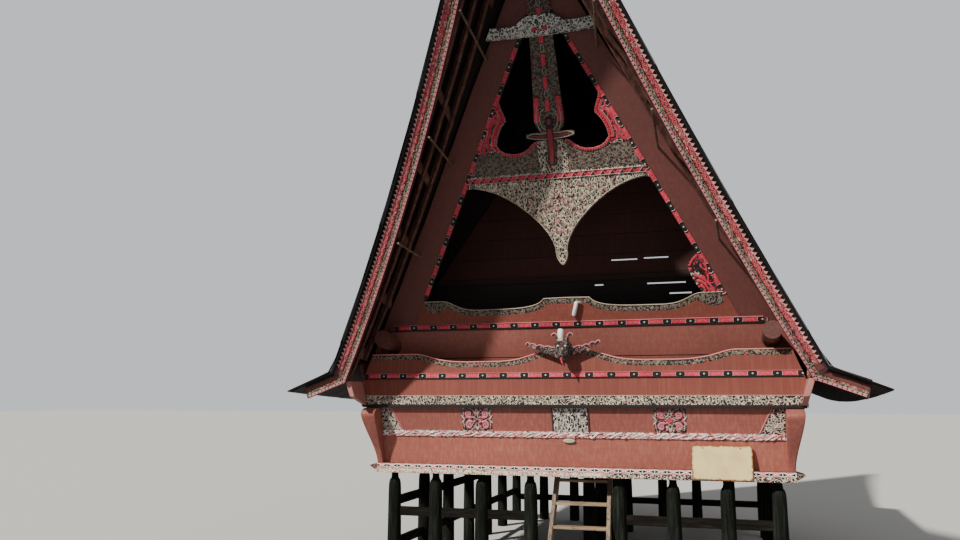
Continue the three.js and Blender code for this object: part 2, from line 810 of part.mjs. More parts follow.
function build() {
  const put = (name, solid, finish) => addMesh(name, toGeometry(solid), finish);
  put("posts_front_left", frontPosts(-1), POST_WOOD);
  put("posts_front_right", frontPosts(1), POST_WOOD);
  put("posts_rear", rearPosts(), POST_WOOD);
  put("posts_left", sidePosts(-FRONT_POSTS[3]), POST_WOOD);
  put("posts_right", sidePosts(FRONT_POSTS[3]), POST_WOOD);
  put("posts_middle", middlePosts(), POST_WOOD);
  const sill = sillBeam();
  put("sill_beam_front", sill, CARVED);
  put("sill_beam_rear", turned(sill), BOARD_DARK);
  const beamEnd = -SILL_DEPTH[1] - GAP;
  const sideBeam = { x: 2780, half: 120 };
  const middleBeam = { half: 90, near: -2560 };
  put("floor_beam_left", floorBeam(-sideBeam.x, sideBeam.half, -beamEnd, beamEnd), BOARD_DARK);
  put("floor_beam_right", floorBeam(sideBeam.x, sideBeam.half, -beamEnd, beamEnd), BOARD_DARK);
  put("floor_beam_middle", floorBeam(0, middleBeam.half, middleBeam.near, beamEnd), BOARD_DARK);
  put("floor", floorDeck(), BOARD_DARK);
  put("ladder", ladder(), PALE_WOOD);
  put("lower_plank_front", lowerBoard(BEAM_TOP, MOULDING_BOTTOM, 0), BOARD);
  put("moulding_front", moulding(MOULDING_BOTTOM, MOULDING_TOP), CARVED_RED);
  put("panel_band_front", lowerBoard(MOULDING_TOP, LEDGE_BOTTOM - GAP, 0), BOARD);
  put("lower_wall_rear", turned(lowerBoard(BEAM_TOP, LEDGE_BOTTOM - GAP, 0)), BOARD);
  const ledgeFront = ledge();
  put("ledge_front", ledgeFront, CARVED);
  put("ledge_rear", turned(ledgeFront), BOARD_DARK);
  const tier = tierBoard();
  put("tier_board_front", tier, BOARD);
  put("tier_board_rear", turned(tier), BOARD);
  const upper = upperWall();
  put("upper_wall_front", upper, BOARD);
  put("upper_wall_rear", turned(upper), BOARD);
  const gable = gableWall();
  put("gable_wall_front", gable, BOARD);
  put("gable_wall_rear", turned(gable), BOARD);
  const sillShaped = sillBoard();
  put("sill_board_front", sillShaped, BOARD);
  put("sill_board_rear", turned(sillShaped), BOARD);
  put("carved_panel_front", carvedPanel(), CARVED);
  put("corner_carving_front", cornerCarving(), CARVED_RED);
  put("finial_board_front", finialBoard(), CARVED);
  put("cross_board_front", crossBoard(), CARVED);
  put("inner_wall_front", innerWall(), BOARD_DARK);
  put("mask_head", maskHead(), CARVED_RED);
  put("signboard", signBoard(), PARCHMENT);
  put("side_wall_left", sideWall(-1), BOARD);
  put("side_wall_right", sideWall(1), BOARD);
  put("eave_log_left", eaveLog(-1), BOARD_DARK);
  put("eave_log_right", eaveLog(1), BOARD_DARK);
  [["left", -1], ["right", 1]].forEach(([word, side]) => {
    put("corner_plank_front_" + word, cornerPlank(side), BOARD);
    put("corner_plank_rear_" + word, turned(cornerPlank(-side)), BOARD);
    put("eave_bracket_front_" + word, eaveBracket(side), BOARD);
    put("eave_bracket_rear_" + word, turned(eaveBracket(-side)), BOARD);
  });
  const barge = bargeBoards();
  put("barge_boards_front", barge, CARVED_RED);
  put("barge_boards_rear", turned(barge), CARVED_RED);
  const frame = overhangFrame();
  put("overhang_frame_front", frame, BOARD_DARK);
  put("overhang_frame_rear", turned(frame), BOARD_DARK);
  put("roof_left", roofSlope(-1), SHEET);
  put("roof_right", roofSlope(1), SHEET);
  put("ridge_cap", ridgeCap(), SHEET);
}

build();

export default house;
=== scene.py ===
import math
import random

import bmesh
import bpy
from mathutils import Matrix, Vector


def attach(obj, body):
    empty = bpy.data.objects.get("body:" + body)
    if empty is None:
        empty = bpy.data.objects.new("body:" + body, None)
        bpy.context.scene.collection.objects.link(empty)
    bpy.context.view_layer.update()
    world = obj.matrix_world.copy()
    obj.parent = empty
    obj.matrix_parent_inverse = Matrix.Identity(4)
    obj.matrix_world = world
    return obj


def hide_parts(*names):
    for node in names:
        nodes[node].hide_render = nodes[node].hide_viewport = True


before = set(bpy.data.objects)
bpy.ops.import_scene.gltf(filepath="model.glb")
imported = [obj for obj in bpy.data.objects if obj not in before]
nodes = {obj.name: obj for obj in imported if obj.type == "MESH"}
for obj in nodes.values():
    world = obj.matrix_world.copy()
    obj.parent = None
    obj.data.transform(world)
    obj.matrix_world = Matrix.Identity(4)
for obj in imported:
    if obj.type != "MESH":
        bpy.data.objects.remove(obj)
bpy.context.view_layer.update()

scene = bpy.context.scene


# The view: a visitor stands in front of the right half of the house and looks up at its gable
# through a slightly wide lens.
def put(name, data):
    """An object that holds the data, in the scene and at the origin."""
    made = bpy.data.objects.new(name, data)
    scene.collection.objects.link(made)
    return made


eye = bpy.data.cameras.new("eye")
eye.lens = 30.845
eye.clip_end = 300.0
eye_holder = put("eye", eye)
eye_holder.location = (2.1667, -15.4969, 2.7329)
eye_holder.rotation_euler = (math.radians(90 + 8.8942), 0.0, math.radians(16.7594))
scene.camera = eye_holder


# The studio: a plain pale floor, a pale surround, one broad soft lamp high on the left and a weak
# one from the right.
def linear(code):
    """An sRGB hex colour as linear RGBA."""
    parts = [int(code[i:i + 2], 16) / 255 for i in (1, 3, 5)]
    return [v / 12.92 if v <= 0.04045 else ((v + 0.055) / 1.055) ** 2.4 for v in parts] + [1.0]


def feed(socket, value):
    """Sets an input to a value or hex colour, or links it to an output or a node's first output."""
    if isinstance(value, bpy.types.Node):
        value = next(output for output in value.outputs if output.enabled)
    if isinstance(value, bpy.types.NodeSocket):
        socket.id_data.links.new(value, socket)
    else:
        socket.default_value = linear(value) if str(value).startswith("#") else value


def add(tree, kind, fed=(), **settings):
    """One node with its settings. fed gives its inputs by name, or its enabled ones in order."""
    made = tree.nodes.new(kind)
    for name, value in settings.items():
        setattr(made, name, value)
    if isinstance(fed, dict):
        for name, value in fed.items():
            feed(made.inputs[name], value)
    else:
        for socket, value in zip([socket for socket in made.inputs if socket.enabled], fed):
            feed(socket, value)
    return made


def new_finish(name, roughness, ior=1.5):
    """A material and its node tree. Wood, paint and glass start from an IOR of 1.5."""
    finish = bpy.data.materials.new(name)
    finish.use_nodes = True
    feed(main_input(finish, "Roughness"), roughness)
    feed(main_input(finish, "IOR"), ior)
    return finish, finish.node_tree


def main_input(finish, name):
    """An input of the finish's own shader."""
    return finish.node_tree.nodes["Principled BSDF"].inputs[name]


FLOOR_REACH = 150
floor_corners = [
    (x * FLOOR_REACH, y * FLOOR_REACH, 0) for x, y in ((-1, -1), (1, -1), (1, 1), (-1, 1))
]
floor_mesh = bpy.data.meshes.new("studio_floor")
floor_mesh.from_pydata(floor_corners, [], [(0, 1, 2, 3)])
floor_finish = new_finish("pale_floor", 0.9)[0]
feed(main_input(floor_finish, "Base Color"), "#D5D2CC")
floor_mesh.materials.append(floor_finish)
studio_floor = put("studio_floor", floor_mesh)
# It throws no light up at the house, which is dark below.
studio_floor.visible_diffuse = False

scene.world = bpy.data.worlds.new("surround")
scene.world.use_nodes = True
backdrop = scene.world.node_tree
seen = add(backdrop, "ShaderNodeLightPath").outputs["Is Camera Ray"]
surround = backdrop.nodes["Background"].inputs
feed(surround["Color"], "#E9EEF3")
feed(surround["Strength"], add(backdrop, "ShaderNodeMapRange", (seen, 0.0, 1.0, 0.3, 0.85)))

for lamp_name, strength, spread, turns in (
    ("main_light", 5.4, 2.5, (53, 0, -33.2)),
    ("side_light", 0.35, 40.0, (62, 0, 48)),
):
    lamp = bpy.data.lights.new(lamp_name, "SUN")
    lamp.energy = strength
    lamp.angle = math.radians(spread)
    lamp.color = (1.0, 0.97, 0.92)
    put(lamp_name, lamp).rotation_euler = [math.radians(a) for a in turns]


# Posts: round trunks of hardwood, adzed and grey with age, whose tops narrow to a neck that carries
# the beams. Two rows of hewn planks run through slots in them and are wedged tight.
def finished(finish, colour, height, strength, distance):
    """The finish with its colour, and its relief in metres, linked."""
    feed(main_input(finish, "Base Color"), colour)
    relief = {"Height": height, "Strength": strength, "Distance": distance}
    feed(main_input(finish, "Normal"), add(finish.node_tree, "ShaderNodeBump", relief))
    return finish


def off_half(tree, share):
    """How far a share is from a half."""
    off = add(tree, "ShaderNodeMath", (share, 0.5), operation="SUBTRACT")
    return add(tree, "ShaderNodeMath", (off,), operation="ABSOLUTE")


def aged_timber(name, dark, mid, pale, grain, roughness=0.85, depth=0.004, ior=1.5):
    """Bare weathered wood: dull, with grain lines and cracks along the axis where the grain's scale
    is small. Real fibres are under 1 mm wide; the broadest here are 30 to 80 mm, so that they show,
    and finer ones lie over them."""
    finish, tree = new_finish(name, roughness, ior)
    place = add(tree, "ShaderNodeTexCoord").outputs["Object"]
    lengthwise = add(tree, "ShaderNodeMapping", {"Vector": place, "Scale": grain})
    fibres = add(tree, "ShaderNodeTexNoise", (lengthwise, 2.0, 8.0, 0.65))
    cracks = off_half(tree, add(tree, "ShaderNodeTexNoise", (lengthwise, 0.9, 2.0)))
    blotch = add(tree, "ShaderNodeTexNoise", (place, 1.7, 4.0))
    ramp = add(tree, "ShaderNodeValToRGB", (fibres,))
    stops = ramp.color_ramp.elements
    stops.new(0.5)
    for stop, at, tone in zip(stops, (0.3, 0.5, 0.72), (dark, mid, pale)):
        stop.position, stop.color = at, linear(tone)
    damp = add(tree, "ShaderNodeMapRange", (blotch, 0.35, 0.7, 0.0, 0.55))
    tone = add(tree, "ShaderNodeMix", (damp, ramp, dark), data_type="RGBA")
    gap = add(tree, "ShaderNodeMapRange", (cracks, 0.001, 0.007, 0.15, 1.0))
    lined = add(tree, "ShaderNodeMix", (gap, "#0E0B0A", tone), data_type="RGBA")
    height = add(tree, "ShaderNodeMath", (fibres, gap), operation="ADD")
    return finished(finish, lined, height, 0.7, depth)


def six_sided(corners):
    """A solid with eight free corners, in the order low to high of x, y and z."""
    return [[corners[i] for i in face] for face in ((0, 1, 3, 2), (4, 5, 7, 6))]


def block(low, high):
    """A square-edged solid between two corners."""
    xs, ys, zs = zip(low, high)
    return six_sided([(x, y, z) for x in xs for y in ys for z in zs])


def make(name, shape, finish, smooth_below=35, strip_caps=False):
    """An object with its edges sharp above an angle. A shape is a list of closed solids, each a row
    of rings of points, where a ring of one is a tip. strip_caps closes ends that are thin folds."""
    points, faces = [], []
    for solid in shape:
        loops = []
        for loop in solid:
            loops.append(range(len(points), len(points) + len(loop)))
            points += [tuple(point) for point in loop]
        for a, b in zip(loops, loops[1:]):
            for i in range(max(len(a), len(b))):
                j = i + 1
                corners = (a[i % len(a)], a[j % len(a)], b[j % len(b)], b[i % len(b)])
                faces.append(tuple(dict.fromkeys(corners)))
        for end in (loops[0], loops[-1]):
            if strip_caps:
                half = len(end) // 2
                faces += [(end[i], end[i + 1], end[-i - 2], end[-i - 1]) for i in range(half - 1)]
            elif len(end) > 2:
                faces.append(tuple(end))
    mesh = bpy.data.meshes.new(name)
    mesh.from_pydata(points, [], faces)
    turned = bmesh.new()
    turned.from_mesh(mesh)
    bmesh.ops.recalc_face_normals(turned, faces=turned.faces)
    turned.to_mesh(mesh)
    turned.free()
    mesh.materials.append(finish)
    smooth(mesh, smooth_below)
    return put(name, mesh)


def smooth(mesh, below=35):
    """Smooth shading, but for edges sharper than an angle."""
    mesh.shade_smooth()
    mesh.set_sharp_from_angle(angle=math.radians(below))


def settle(piece, slot, *replaced):
    """The piece belongs to the house and may stand for CAD nodes, which it hides. slot is not used.
    """
    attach(piece, "root")
    if replaced:
        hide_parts(*replaced)


def build(name, shape, finish, slot, *replaced, face=None, worn=0.0, segments=2, smooth_below=35):
    """A piece of the house. A face takes a drawing, x across, y up, z proud, to its place. Edges
    are worn round to a width."""
    if face:
        shape = [[[face(*point) for point in loop] for loop in solid] for solid in shape]
    piece = make(name, shape, finish, smooth_below)
    if worn:
        bevel = piece.modifiers.new("worn_edges", "BEVEL")
        bevel.width = worn
        bevel.segments = segments
        bevel.limit_method = "ANGLE"
        bevel.angle_limit = math.radians(40)
    settle(piece, slot, *replaced)


def new_tree(name, *wanted):
    """A node group with a geometry input and output, and the named inputs that it wants."""
    tree = bpy.data.node_groups.new(name, "GeometryNodeTree")
    for label in ("Geometry", *wanted):
        kind = {"Unit": "Object", "Finish": "Material", "Geometry": "Geometry"}.get(label, "Float")
        tree.interface.new_socket(label, in_out="INPUT", socket_type="NodeSocket" + kind)
    tree.interface.new_socket("Geometry", in_out="OUTPUT", socket_type="NodeSocketGeometry")
    return tree, add(tree, "NodeGroupInput").outputs


def close_tree(tree, made, given):
    """Ends a tree: real copies, in the given finish."""
    real = add(tree, "GeometryNodeRealizeInstances", (made,))
    dressed = add(tree, "GeometryNodeSetMaterial", {"Geometry": real, "Material": given["Finish"]})
    add(tree, "NodeGroupOutput", (dressed,))
    return tree


def grow(holder, tree, **inputs):
    """Runs a node group on the holder and keeps the result as its plain mesh."""
    modifier = holder.modifiers.new(holder.name, "NODES")
    modifier.node_group = tree
    for item in tree.interface.items_tree:
        if item.in_out == "INPUT" and item.name.lower() in inputs:
            modifier[item.identifier] = inputs[item.name.lower()]
    grown = holder.evaluated_get(bpy.context.evaluated_depsgraph_get())
    mesh = bpy.data.meshes.new_from_object(grown)
    holder.modifiers.clear()
    holder.data = mesh
    mesh.name = holder.name


def unit_tree(name, *pitch):
    """Copies of the unit, X along and Z outward: at each pitch of a line, or else on every point,
    where attributes say which way is along and how large."""
    tree, given = new_tree(name, "Unit", "Finish", *pitch)
    outward = add(tree, "GeometryNodeInputNamedAttribute", ("outward",), data_type="FLOAT_VECTOR")
    if pitch:
        line = add(tree, "GeometryNodeMeshToCurve", (given["Geometry"],))
        fed = {"Curve": line, "Length": given["Pitch"]}
        points = add(tree, "GeometryNodeResampleCurve", fed, mode="LENGTH")
        along, size = add(tree, "GeometryNodeInputTangent"), (1.0, 1.0, 1.0)
    else:
        points = given["Geometry"]
        along = add(tree, "GeometryNodeInputNamedAttribute", ("along",), data_type="FLOAT_VECTOR")
        size = add(tree, "GeometryNodeInputNamedAttribute", ("size",), data_type="FLOAT")
    first = add(tree, "FunctionNodeAlignRotationToVector", {"Vector": along}, axis="X")
    fed = {"Rotation": first, "Vector": outward}
    turned = add(tree, "FunctionNodeAlignRotationToVector", fed, axis="Z", pivot_axis="X")
    unit = add(tree, "GeometryNodeObjectInfo", (given["Unit"],)).outputs["Geometry"]
    fed = {"Points": points, "Instance": unit, "Rotation": turned, "Scale": size}
    return close_tree(tree, add(tree, "GeometryNodeInstanceOnPoints", fed), given)


on_points, on_line = unit_tree("on_points"), unit_tree("on_line", "Pitch")


def store(mesh, **values):
    """Stores a vector or a number for every point of the mesh, under its name."""
    for name, entries in values.items():
        kind, key = "FLOAT", "value"
        if hasattr(entries[0], "__len__"):
            kind, key, entries = "FLOAT_VECTOR", "vector", [part for e in entries for part in e]
        mesh.attributes.new(name, kind, "POINT").data.foreach_set(key, entries)


def copies(name, tree, points, edges, values, shape, finish, slot, *replaced, **inputs):
    """A piece made of copies of a shape, set out on points or along a line."""
    unit = make(name + "_unit", shape, finish)
    mesh = bpy.data.meshes.new(name)
    mesh.from_pydata(points, edges, [])
    store(mesh, **values)
    piece = put(name, mesh)
    grow(piece, tree, unit=unit, finish=finish, **inputs)
    bpy.data.objects.remove(unit)
    smooth(piece.data)
    settle(piece, slot, *replaced)


def stand(name, places, shape, finish, slot, *replaced):
    """Copies at the places, each a point, a direction along, one outward and a size."""
    points, alongs, outwards, sizes = zip(*places)
    values = {"along": alongs, "outward": outwards, "size": sizes}
    copies(name, on_points, points, [], values, shape, finish, slot, *replaced)


TURN = 2 * math.pi
# Adzed hardwood, open-grained and dusty, with no gloss at all. It is weathered dark, and is
# painted nearer black besides, as painted shade for the deep shade under the house.
post_finish = aged_timber(
    "weathered_post_timber", "#0B0C0A", "#1A1D18", "#343930", (16, 16, 1.3), 0.95, ior=1.2)
tie_finish = aged_timber(
    "hewn_tie_timber", "#0D0C0A", "#1B1815", "#312C25", (1.2, 1.2, 16), 0.95, ior=1.2)
# The height and radius of each ring, from the foot to the top of the neck.
POST_RINGS = (
    (0.0, 0.105), (0.02, 0.109), (0.2, 0.108), (0.42, 0.106), (0.66, 0.104),
    (0.9, 0.101), (1.12, 0.098), (1.33, 0.096), (1.44, 0.094), (1.5, 0.089),
    (1.54, 0.078), (1.562, 0.06), (1.6, 0.052), (1.6545, 0.052),
)
POST_FACETS, POST_SEED = 20, 11


def hewn_post(seed):
    """A round trunk whose adze cuts lie a few millimetres in or out."""
    rng = random.Random(seed)
    facets = [rng.uniform(-0.004, 0.002) for _ in range(POST_FACETS)]
    rings = []
    for z, radius in POST_RINGS:
        rings.append([])
        for i, facet in enumerate(facets):
            r = radius + (facet + rng.uniform(-0.002, 0.001)) * min(1.0, radius / 0.1)
            turn = TURN * i / POST_FACETS
            rings[-1].append((r * math.cos(turn), r * math.sin(turn), z))
    return [rings]


FRONT_POST_X = (0.63, 1.36, 2.065, 2.72)
INNER_X, OUTER_X, CORNER_Y = FRONT_POST_X[0], FRONT_POST_X[3], 3.7
POST_PITCH = 1.22
FRONT_ROW = [(s * x, -CORNER_Y) for x in FRONT_POST_X for s in (-1, 1)]
SIDE_ROW = [(0.0, POST_PITCH * i) for i in (-2, -1, 0, 1, 2)]
post_chance = random.Random(5)
for row_name, feet, replaced in (
    ("front", FRONT_ROW, ("posts_front_left", "posts_front_right")),
    ("rear", [(x, -y) for x, y in FRONT_ROW], ("posts_rear",)),
    ("left", [(-OUTER_X, y) for x, y in SIDE_ROW], ("posts_left",)),
    ("right", [(OUTER_X, y) for x, y in SIDE_ROW], ("posts_right",)),
    ("middle", SIDE_ROW, ("posts_middle",)),
):
    places = []
    for x, y in feet:
        turn = post_chance.uniform(0, TURN)
        places.append(((x, y, 0.0), (math.cos(turn), math.sin(turn), 0.0), (0, 0, 1), 1.0))
    stand(
        "post_row_" + row_name, places, hewn_post(POST_SEED), post_finish, "post_wood", *replaced)

TIE_HEIGHTS = (0.42, 1.02)
TIE_HALF, TIE_TALL, TIE_LIFT = 0.03, 0.13, 0.14
ties_across = [
    block((low_x, y - TIE_HALF, z), (high_x, y + TIE_HALF, z + TIE_TALL))
    for z in TIE_HEIGHTS
    for low_x, high_x, y in (
        (-OUTER_X, -INNER_X, -CORNER_Y), (INNER_X, OUTER_X, -CORNER_Y),
        (-OUTER_X, OUTER_X, CORNER_Y),
    )
]
ties_along = [
    block((x - TIE_HALF, -end, z + TIE_LIFT), (x + TIE_HALF, end, z + TIE_LIFT + TIE_TALL))
    for z in TIE_HEIGHTS
    for x, end in ((-OUTER_X, CORNER_Y), (OUTER_X, CORNER_Y), (0.0, 2 * POST_PITCH))
]
build("tie_planks_across", ties_across, tie_finish, "post_wood", worn=0.007)
build("tie_planks_along", ties_along, tie_finish, "post_wood", worn=0.007)


# Floor: broad hardwood planks on side and middle beams, open at the hatch above the ladder. Age and
# smoke have turned them dark brown.
def dress(finish, *names):
    """Gives CAD nodes their finish."""
    for name in names:
        nodes[name].data.materials.clear()
        nodes[name].data.materials.append(finish)


floor_timber = aged_timber("dark_floor_timber", "#1D120F", "#3A241E", "#5A3C32", (1.0, 14, 14))
dress(floor_timber, "floor", "floor_beam_left", "floor_beam_right", "floor_beam_middle")

# Ladder: two plank rails and five flat treads of pale sawn timber, let into the rails and worn
# hollow in the middle.
# Sawn pale wood, newer than the house and smoother where hands and feet rub it.
ladder_timber = aged_timber(
    "pale_ladder_timber", "#6B5946", "#A08767", "#C8B08C", (1.6, 12, 12), 0.7, 0.002)
rail_timber = aged_timber(
    "pale_rail_timber", "#54463A", "#85705A", "#A8957B", (12, 12, 1.6), 0.75, 0.002)
RAIL_FOOT_Y, RAIL_HEAD_Y, RAIL_TOP = -4.27, -3.3, 1.79
LADDER_X, RAIL_THICK, RAIL_DEEP = 0.085, 0.055, 0.17
INSIDE_FOOT, INSIDE_HEAD = 0.395, 0.352


def rail_inside(z):
    """Half the clear width between the rails at a height."""
    return INSIDE_FOOT + (INSIDE_HEAD - INSIDE_FOOT) * z / RAIL_TOP


def rail_y(z):
    """Where the middle of a rail is, front to back, at a height."""
    return RAIL_FOOT_Y + (RAIL_HEAD_Y - RAIL_FOOT_Y) * z / RAIL_TOP


rails = [
    six_sided([
        (LADDER_X + side * (rail_inside(z) + reach), rail_y(z) + depth * RAIL_DEEP / 2, z)
        for reach in (0.0, RAIL_THICK) for depth in (-1, 1) for z in (0.0, RAIL_TOP)
    ])
    for side in (-1, 1)
]
build("ladder_rails", rails, rail_timber, "pale_wood", "ladder", worn=0.006)
TREAD_CUTS, TREAD_THICK, TREAD_HALF, TREAD_GAP = 10, 0.042, 0.06, 0.001
TREAD_WORN, FIRST_TREAD, TREAD_RISE, TREADS = 0.007, 0.33, 0.305, 5


def tread(z):
    """A tread from rail to rail, worn hollow towards its middle."""
    rings = []
    for cut in range(TREAD_CUTS + 1):
        across = 2 * cut / TREAD_CUTS - 1
        hollow = TREAD_WORN * (1 - across * across)
        section = (
            (-TREAD_HALF, 0.0), (TREAD_HALF, 0.0), (TREAD_HALF, TREAD_THICK),
            (0.0, TREAD_THICK - 0.4 * hollow), (-TREAD_HALF, TREAD_THICK - hollow),
        )
        x = LADDER_X + (rail_inside(z) - TREAD_GAP) * across
        rings.append([(x, rail_y(z) + y, z + lift) for y, lift in section])
    return rings


treads = [tread(FIRST_TREAD + TREAD_RISE * step) for step in range(TREADS)]
build("ladder_treads", treads, ladder_timber, "pale_wood", worn=0.004)


# Wall boards: planks of hardwood painted red-brown, chalky from sun and rain, with brush marks and
# pale runs down the face, and a dark open joint where two planks meet.
JOINT_DARK, JOINT_FADED = 0.003, 0.009
PAINTED_SHADE_FULL, PAINTED_SHADE_GONE = -0.02, 0.15


def painted_boards(
    name, paint, deep, chalk, runs=(10, 10, 0.7), joint=None, pitch=0.4, shift=0.0, roughness=0.66,
    painted_shade_below=None, seam_tone="#1C0E0C",
):
    """Red-brown ochre paint on sawn boards: dull and chalky, with runs about 30 mm wide and faded
    patches near 2 m. Real saw marks are 3 mm apart; here they are 17 mm, so that they show. joint
    is the direction across the boards, in X mirrored."""
    finish, tree = new_finish(name, roughness)
    place = add(tree, "ShaderNodeTexCoord").outputs["Object"]
    run_place = add(tree, "ShaderNodeMapping", {"Vector": place, "Scale": runs})
    streaks = add(tree, "ShaderNodeTexNoise", (run_place, 3.0, 7.0, 0.62))
    wide = add(tree, "ShaderNodeTexNoise", (place, 0.55, 3.0))
    saw_place = add(tree, "ShaderNodeMapping", {"Vector": place, "Scale": (1.0, 1.0, 26.0)})
    sawn = add(tree, "ShaderNodeTexNoise", (saw_place, 2.2, 5.0))
    streak_share = add(tree, "ShaderNodeMapRange", (streaks, 0.44, 0.74, 0.0, 0.5))
    deep_share = add(tree, "ShaderNodeMapRange", (wide, 0.35, 0.65, 0.0, 0.35))
    grain = add(tree, "ShaderNodeMapRange", (sawn, 0.3, 0.7, 0.93, 1.04))
    colour = add(tree, "ShaderNodeMix", (streak_share, paint, chalk), data_type="RGBA")
    colour = add(tree, "ShaderNodeMix", (deep_share, colour, deep), data_type="RGBA")
    multiplied = {"data_type": "RGBA", "blend_type": "MULTIPLY"}
    colour = add(tree, "ShaderNodeMix", (1.0, colour, grain), **multiplied)
    height = add(tree, "ShaderNodeMath", (streaks, sawn), operation="ADD")
    if joint:
        mirrored = add(tree, "ShaderNodeVectorMath", (place,), operation="ABSOLUTE")
        across = add(tree, "ShaderNodeVectorMath", (mirrored, joint), operation="DOT_PRODUCT")
        counted = add(tree, "ShaderNodeMath", (across, 1 / pitch, shift), operation="MULTIPLY_ADD")
        far = off_half(tree, add(tree, "ShaderNodeMath", (counted,), operation="FRACT"))
        seam_range = (far, 0.5 - JOINT_FADED / pitch, 0.5 - JOINT_DARK / pitch, 1.0, 0.0)
        seam = add(tree, "ShaderNodeMapRange", seam_range)
        number = add(tree, "ShaderNodeMath", (counted,), operation="FLOOR")
        own = add(tree, "ShaderNodeTexWhiteNoise", (number,), noise_dimensions="1D")
        own_tone = add(tree, "ShaderNodeMapRange", (own, 0.0, 1.0, 0.84, 1.08))
        colour = add(tree, "ShaderNodeMix", (1.0, colour, own_tone), **multiplied)
        colour = add(tree, "ShaderNodeMix", (seam, seam_tone, colour), data_type="RGBA")
        seam_height = add(tree, "ShaderNodeMath", (seam, 3.0), operation="MULTIPLY")
        height = add(tree, "ShaderNodeMath", (height, seam_height), operation="ADD")
    # Below the given height the boards fade to near black: painted shade, low in the loft where
    # little light comes in.
    if painted_shade_below:
        level = add(tree, "ShaderNodeSeparateXYZ", (place,)).outputs["Z"]
        painted_shade_range = (level, painted_shade_below + PAINTED_SHADE_FULL, painted_shade_below + PAINTED_SHADE_GONE, 0.9, 0.0)
        soot_and_painted_shade = add(tree, "ShaderNodeMapRange", painted_shade_range)
        colour = add(tree, "ShaderNodeMix", (soot_and_painted_shade, colour, "#120B0A"), data_type="RGBA")
    return finished(finish, colour, height, 0.45, 0.003)


UPWARD = (0, 0, 1)
plain_boards = painted_boards("red_painted_board", "#965146", "#703A31", "#BE8270")
for board_name, tones, settings, dressed in (
    # The lower plank is painted lighter than the other boards: painted light, for the brighter sun
    # on it.
    ("lower_plank", ("#B26252", "#86483C", "#D29880"), {}, ["lower_plank_front"]),
    ("tier_board", ("#854235", "#613026", "#A5634F"), {"roughness": 0.8},
     ["tier_board_front", "tier_board_rear", "sill_board_front", "sill_board_rear"]),
    ("level_boards", ("#99584D", "#6E3C33", "#B87A6A"),
     {"joint": UPWARD, "pitch": 0.405, "shift": -0.222},
     ["lower_wall_rear", "upper_wall_front", "upper_wall_rear"]),
    ("side_boards", ("#7F463D", "#573029", "#9C6656"),
     {"runs": (10, 10, 0.8), "joint": UPWARD, "pitch": 0.26},
     ["side_wall_left", "side_wall_right"]),
):
    dress(painted_boards("red_painted_" + board_name, *tones, **settings), *dressed)
# The gable's boards are painted darker than the wall's: painted shade, for the barge boards' shadow
# on them.
gable_boards = painted_boards(
    "red_painted_gable_boards", "#693630", "#522A25", "#824C41", (9, 9, 0.9),
    (0.8734, 0, 0.487), 0.36, 0.12, seam_tone="#5C2F29")
# The inner wall's boards are painted darker than the outer ones: painted shade inside the loft.
dark_boards = painted_boards(
    "dark_inner_boards", "#4C2620", "#321814", "#64352C", joint=UPWARD, pitch=0.31, shift=0.2,
    roughness=0.75, painted_shade_below=4.5)
dress(plain_boards, "panel_band_front", "ledge_rear", "barge_boards_rear")
dress(gable_boards, "gable_wall_front", "gable_wall_rear")
dress(dark_boards, "inner_wall_front")


# Carving: scrolls cut into the boards with a knife and painted red, white and black. The raised
# strokes keep the paint and the cut ground is black, dusty and washed out on the weather side.
def carved_paint(name, tone, worn, dirt, share=0.4, roughness=0.7):
    """Lime, ochre or soot paint on carved wood: dull, with worn patches about 30 mm across and
    dirt that gathers over 300 mm."""
    finish, tree = new_finish(name, roughness)
    place = add(tree, "ShaderNodeTexCoord").outputs["Object"]
    fine = add(tree, "ShaderNodeTexNoise", (place, 34.0, 4.0, 0.7))
    wide = add(tree, "ShaderNodeTexNoise", (place, 3.1, 4.0))
    wear = add(tree, "ShaderNodeMapRange", (fine, 0.45, 0.7, 0.0, share))
    soot_and_painted_shade = add(tree, "ShaderNodeMapRange", (wide, 0.4, 0.7, 0.0, 0.45))
    colour = add(tree, "ShaderNodeMix", (wear, tone, worn), data_type="RGBA")
    colour = add(tree, "ShaderNodeMix", (soot_and_painted_shade, colour, dirt), data_type="RGBA")
    return finished(finish, colour, fine, 0.4, 0.002)


white_paint = carved_paint("lime_white_on_carving", "#D9CFC2", "#9A8F84", "#6F665E")
cream_paint = carved_paint("cream_paint_on_carving", "#CFC5AC", "#A39A80", "#7D7765", 0.5)
grey_paint = carved_paint("washed_out_white_on_carving", "#B9B3A2", "#7F7A6C", "#55524A", 0.6)
dim_paint = carved_paint("dirty_white_in_shade", "#9B9184", "#6E665C", "#3E3934", 0.6)
pink_paint = carved_paint("sun_faded_red_on_carving", "#D98084", "#C25E64", "#8A4446", 0.5)
red_paint = carved_paint("ochre_red_on_carving", "#DE2C46", "#EE8C96", "#7A1A28", 0.5)
# A darker red for the lizard: painted shade, as the upright lies in shade.
red_paint_darkened_as_shade = carved_paint("old_red_on_upright", "#8E3038", "#6B262C", "#3A1619", 0.5)
black_paint = carved_paint("soot_black_ground", "#120F0F", "#2A2422", "#0A0909", 0.3, 0.85)
brown_ground = carved_paint("dark_red_ground", "#4A2422", "#6A3B35", "#2A1614", 0.3, 0.75)


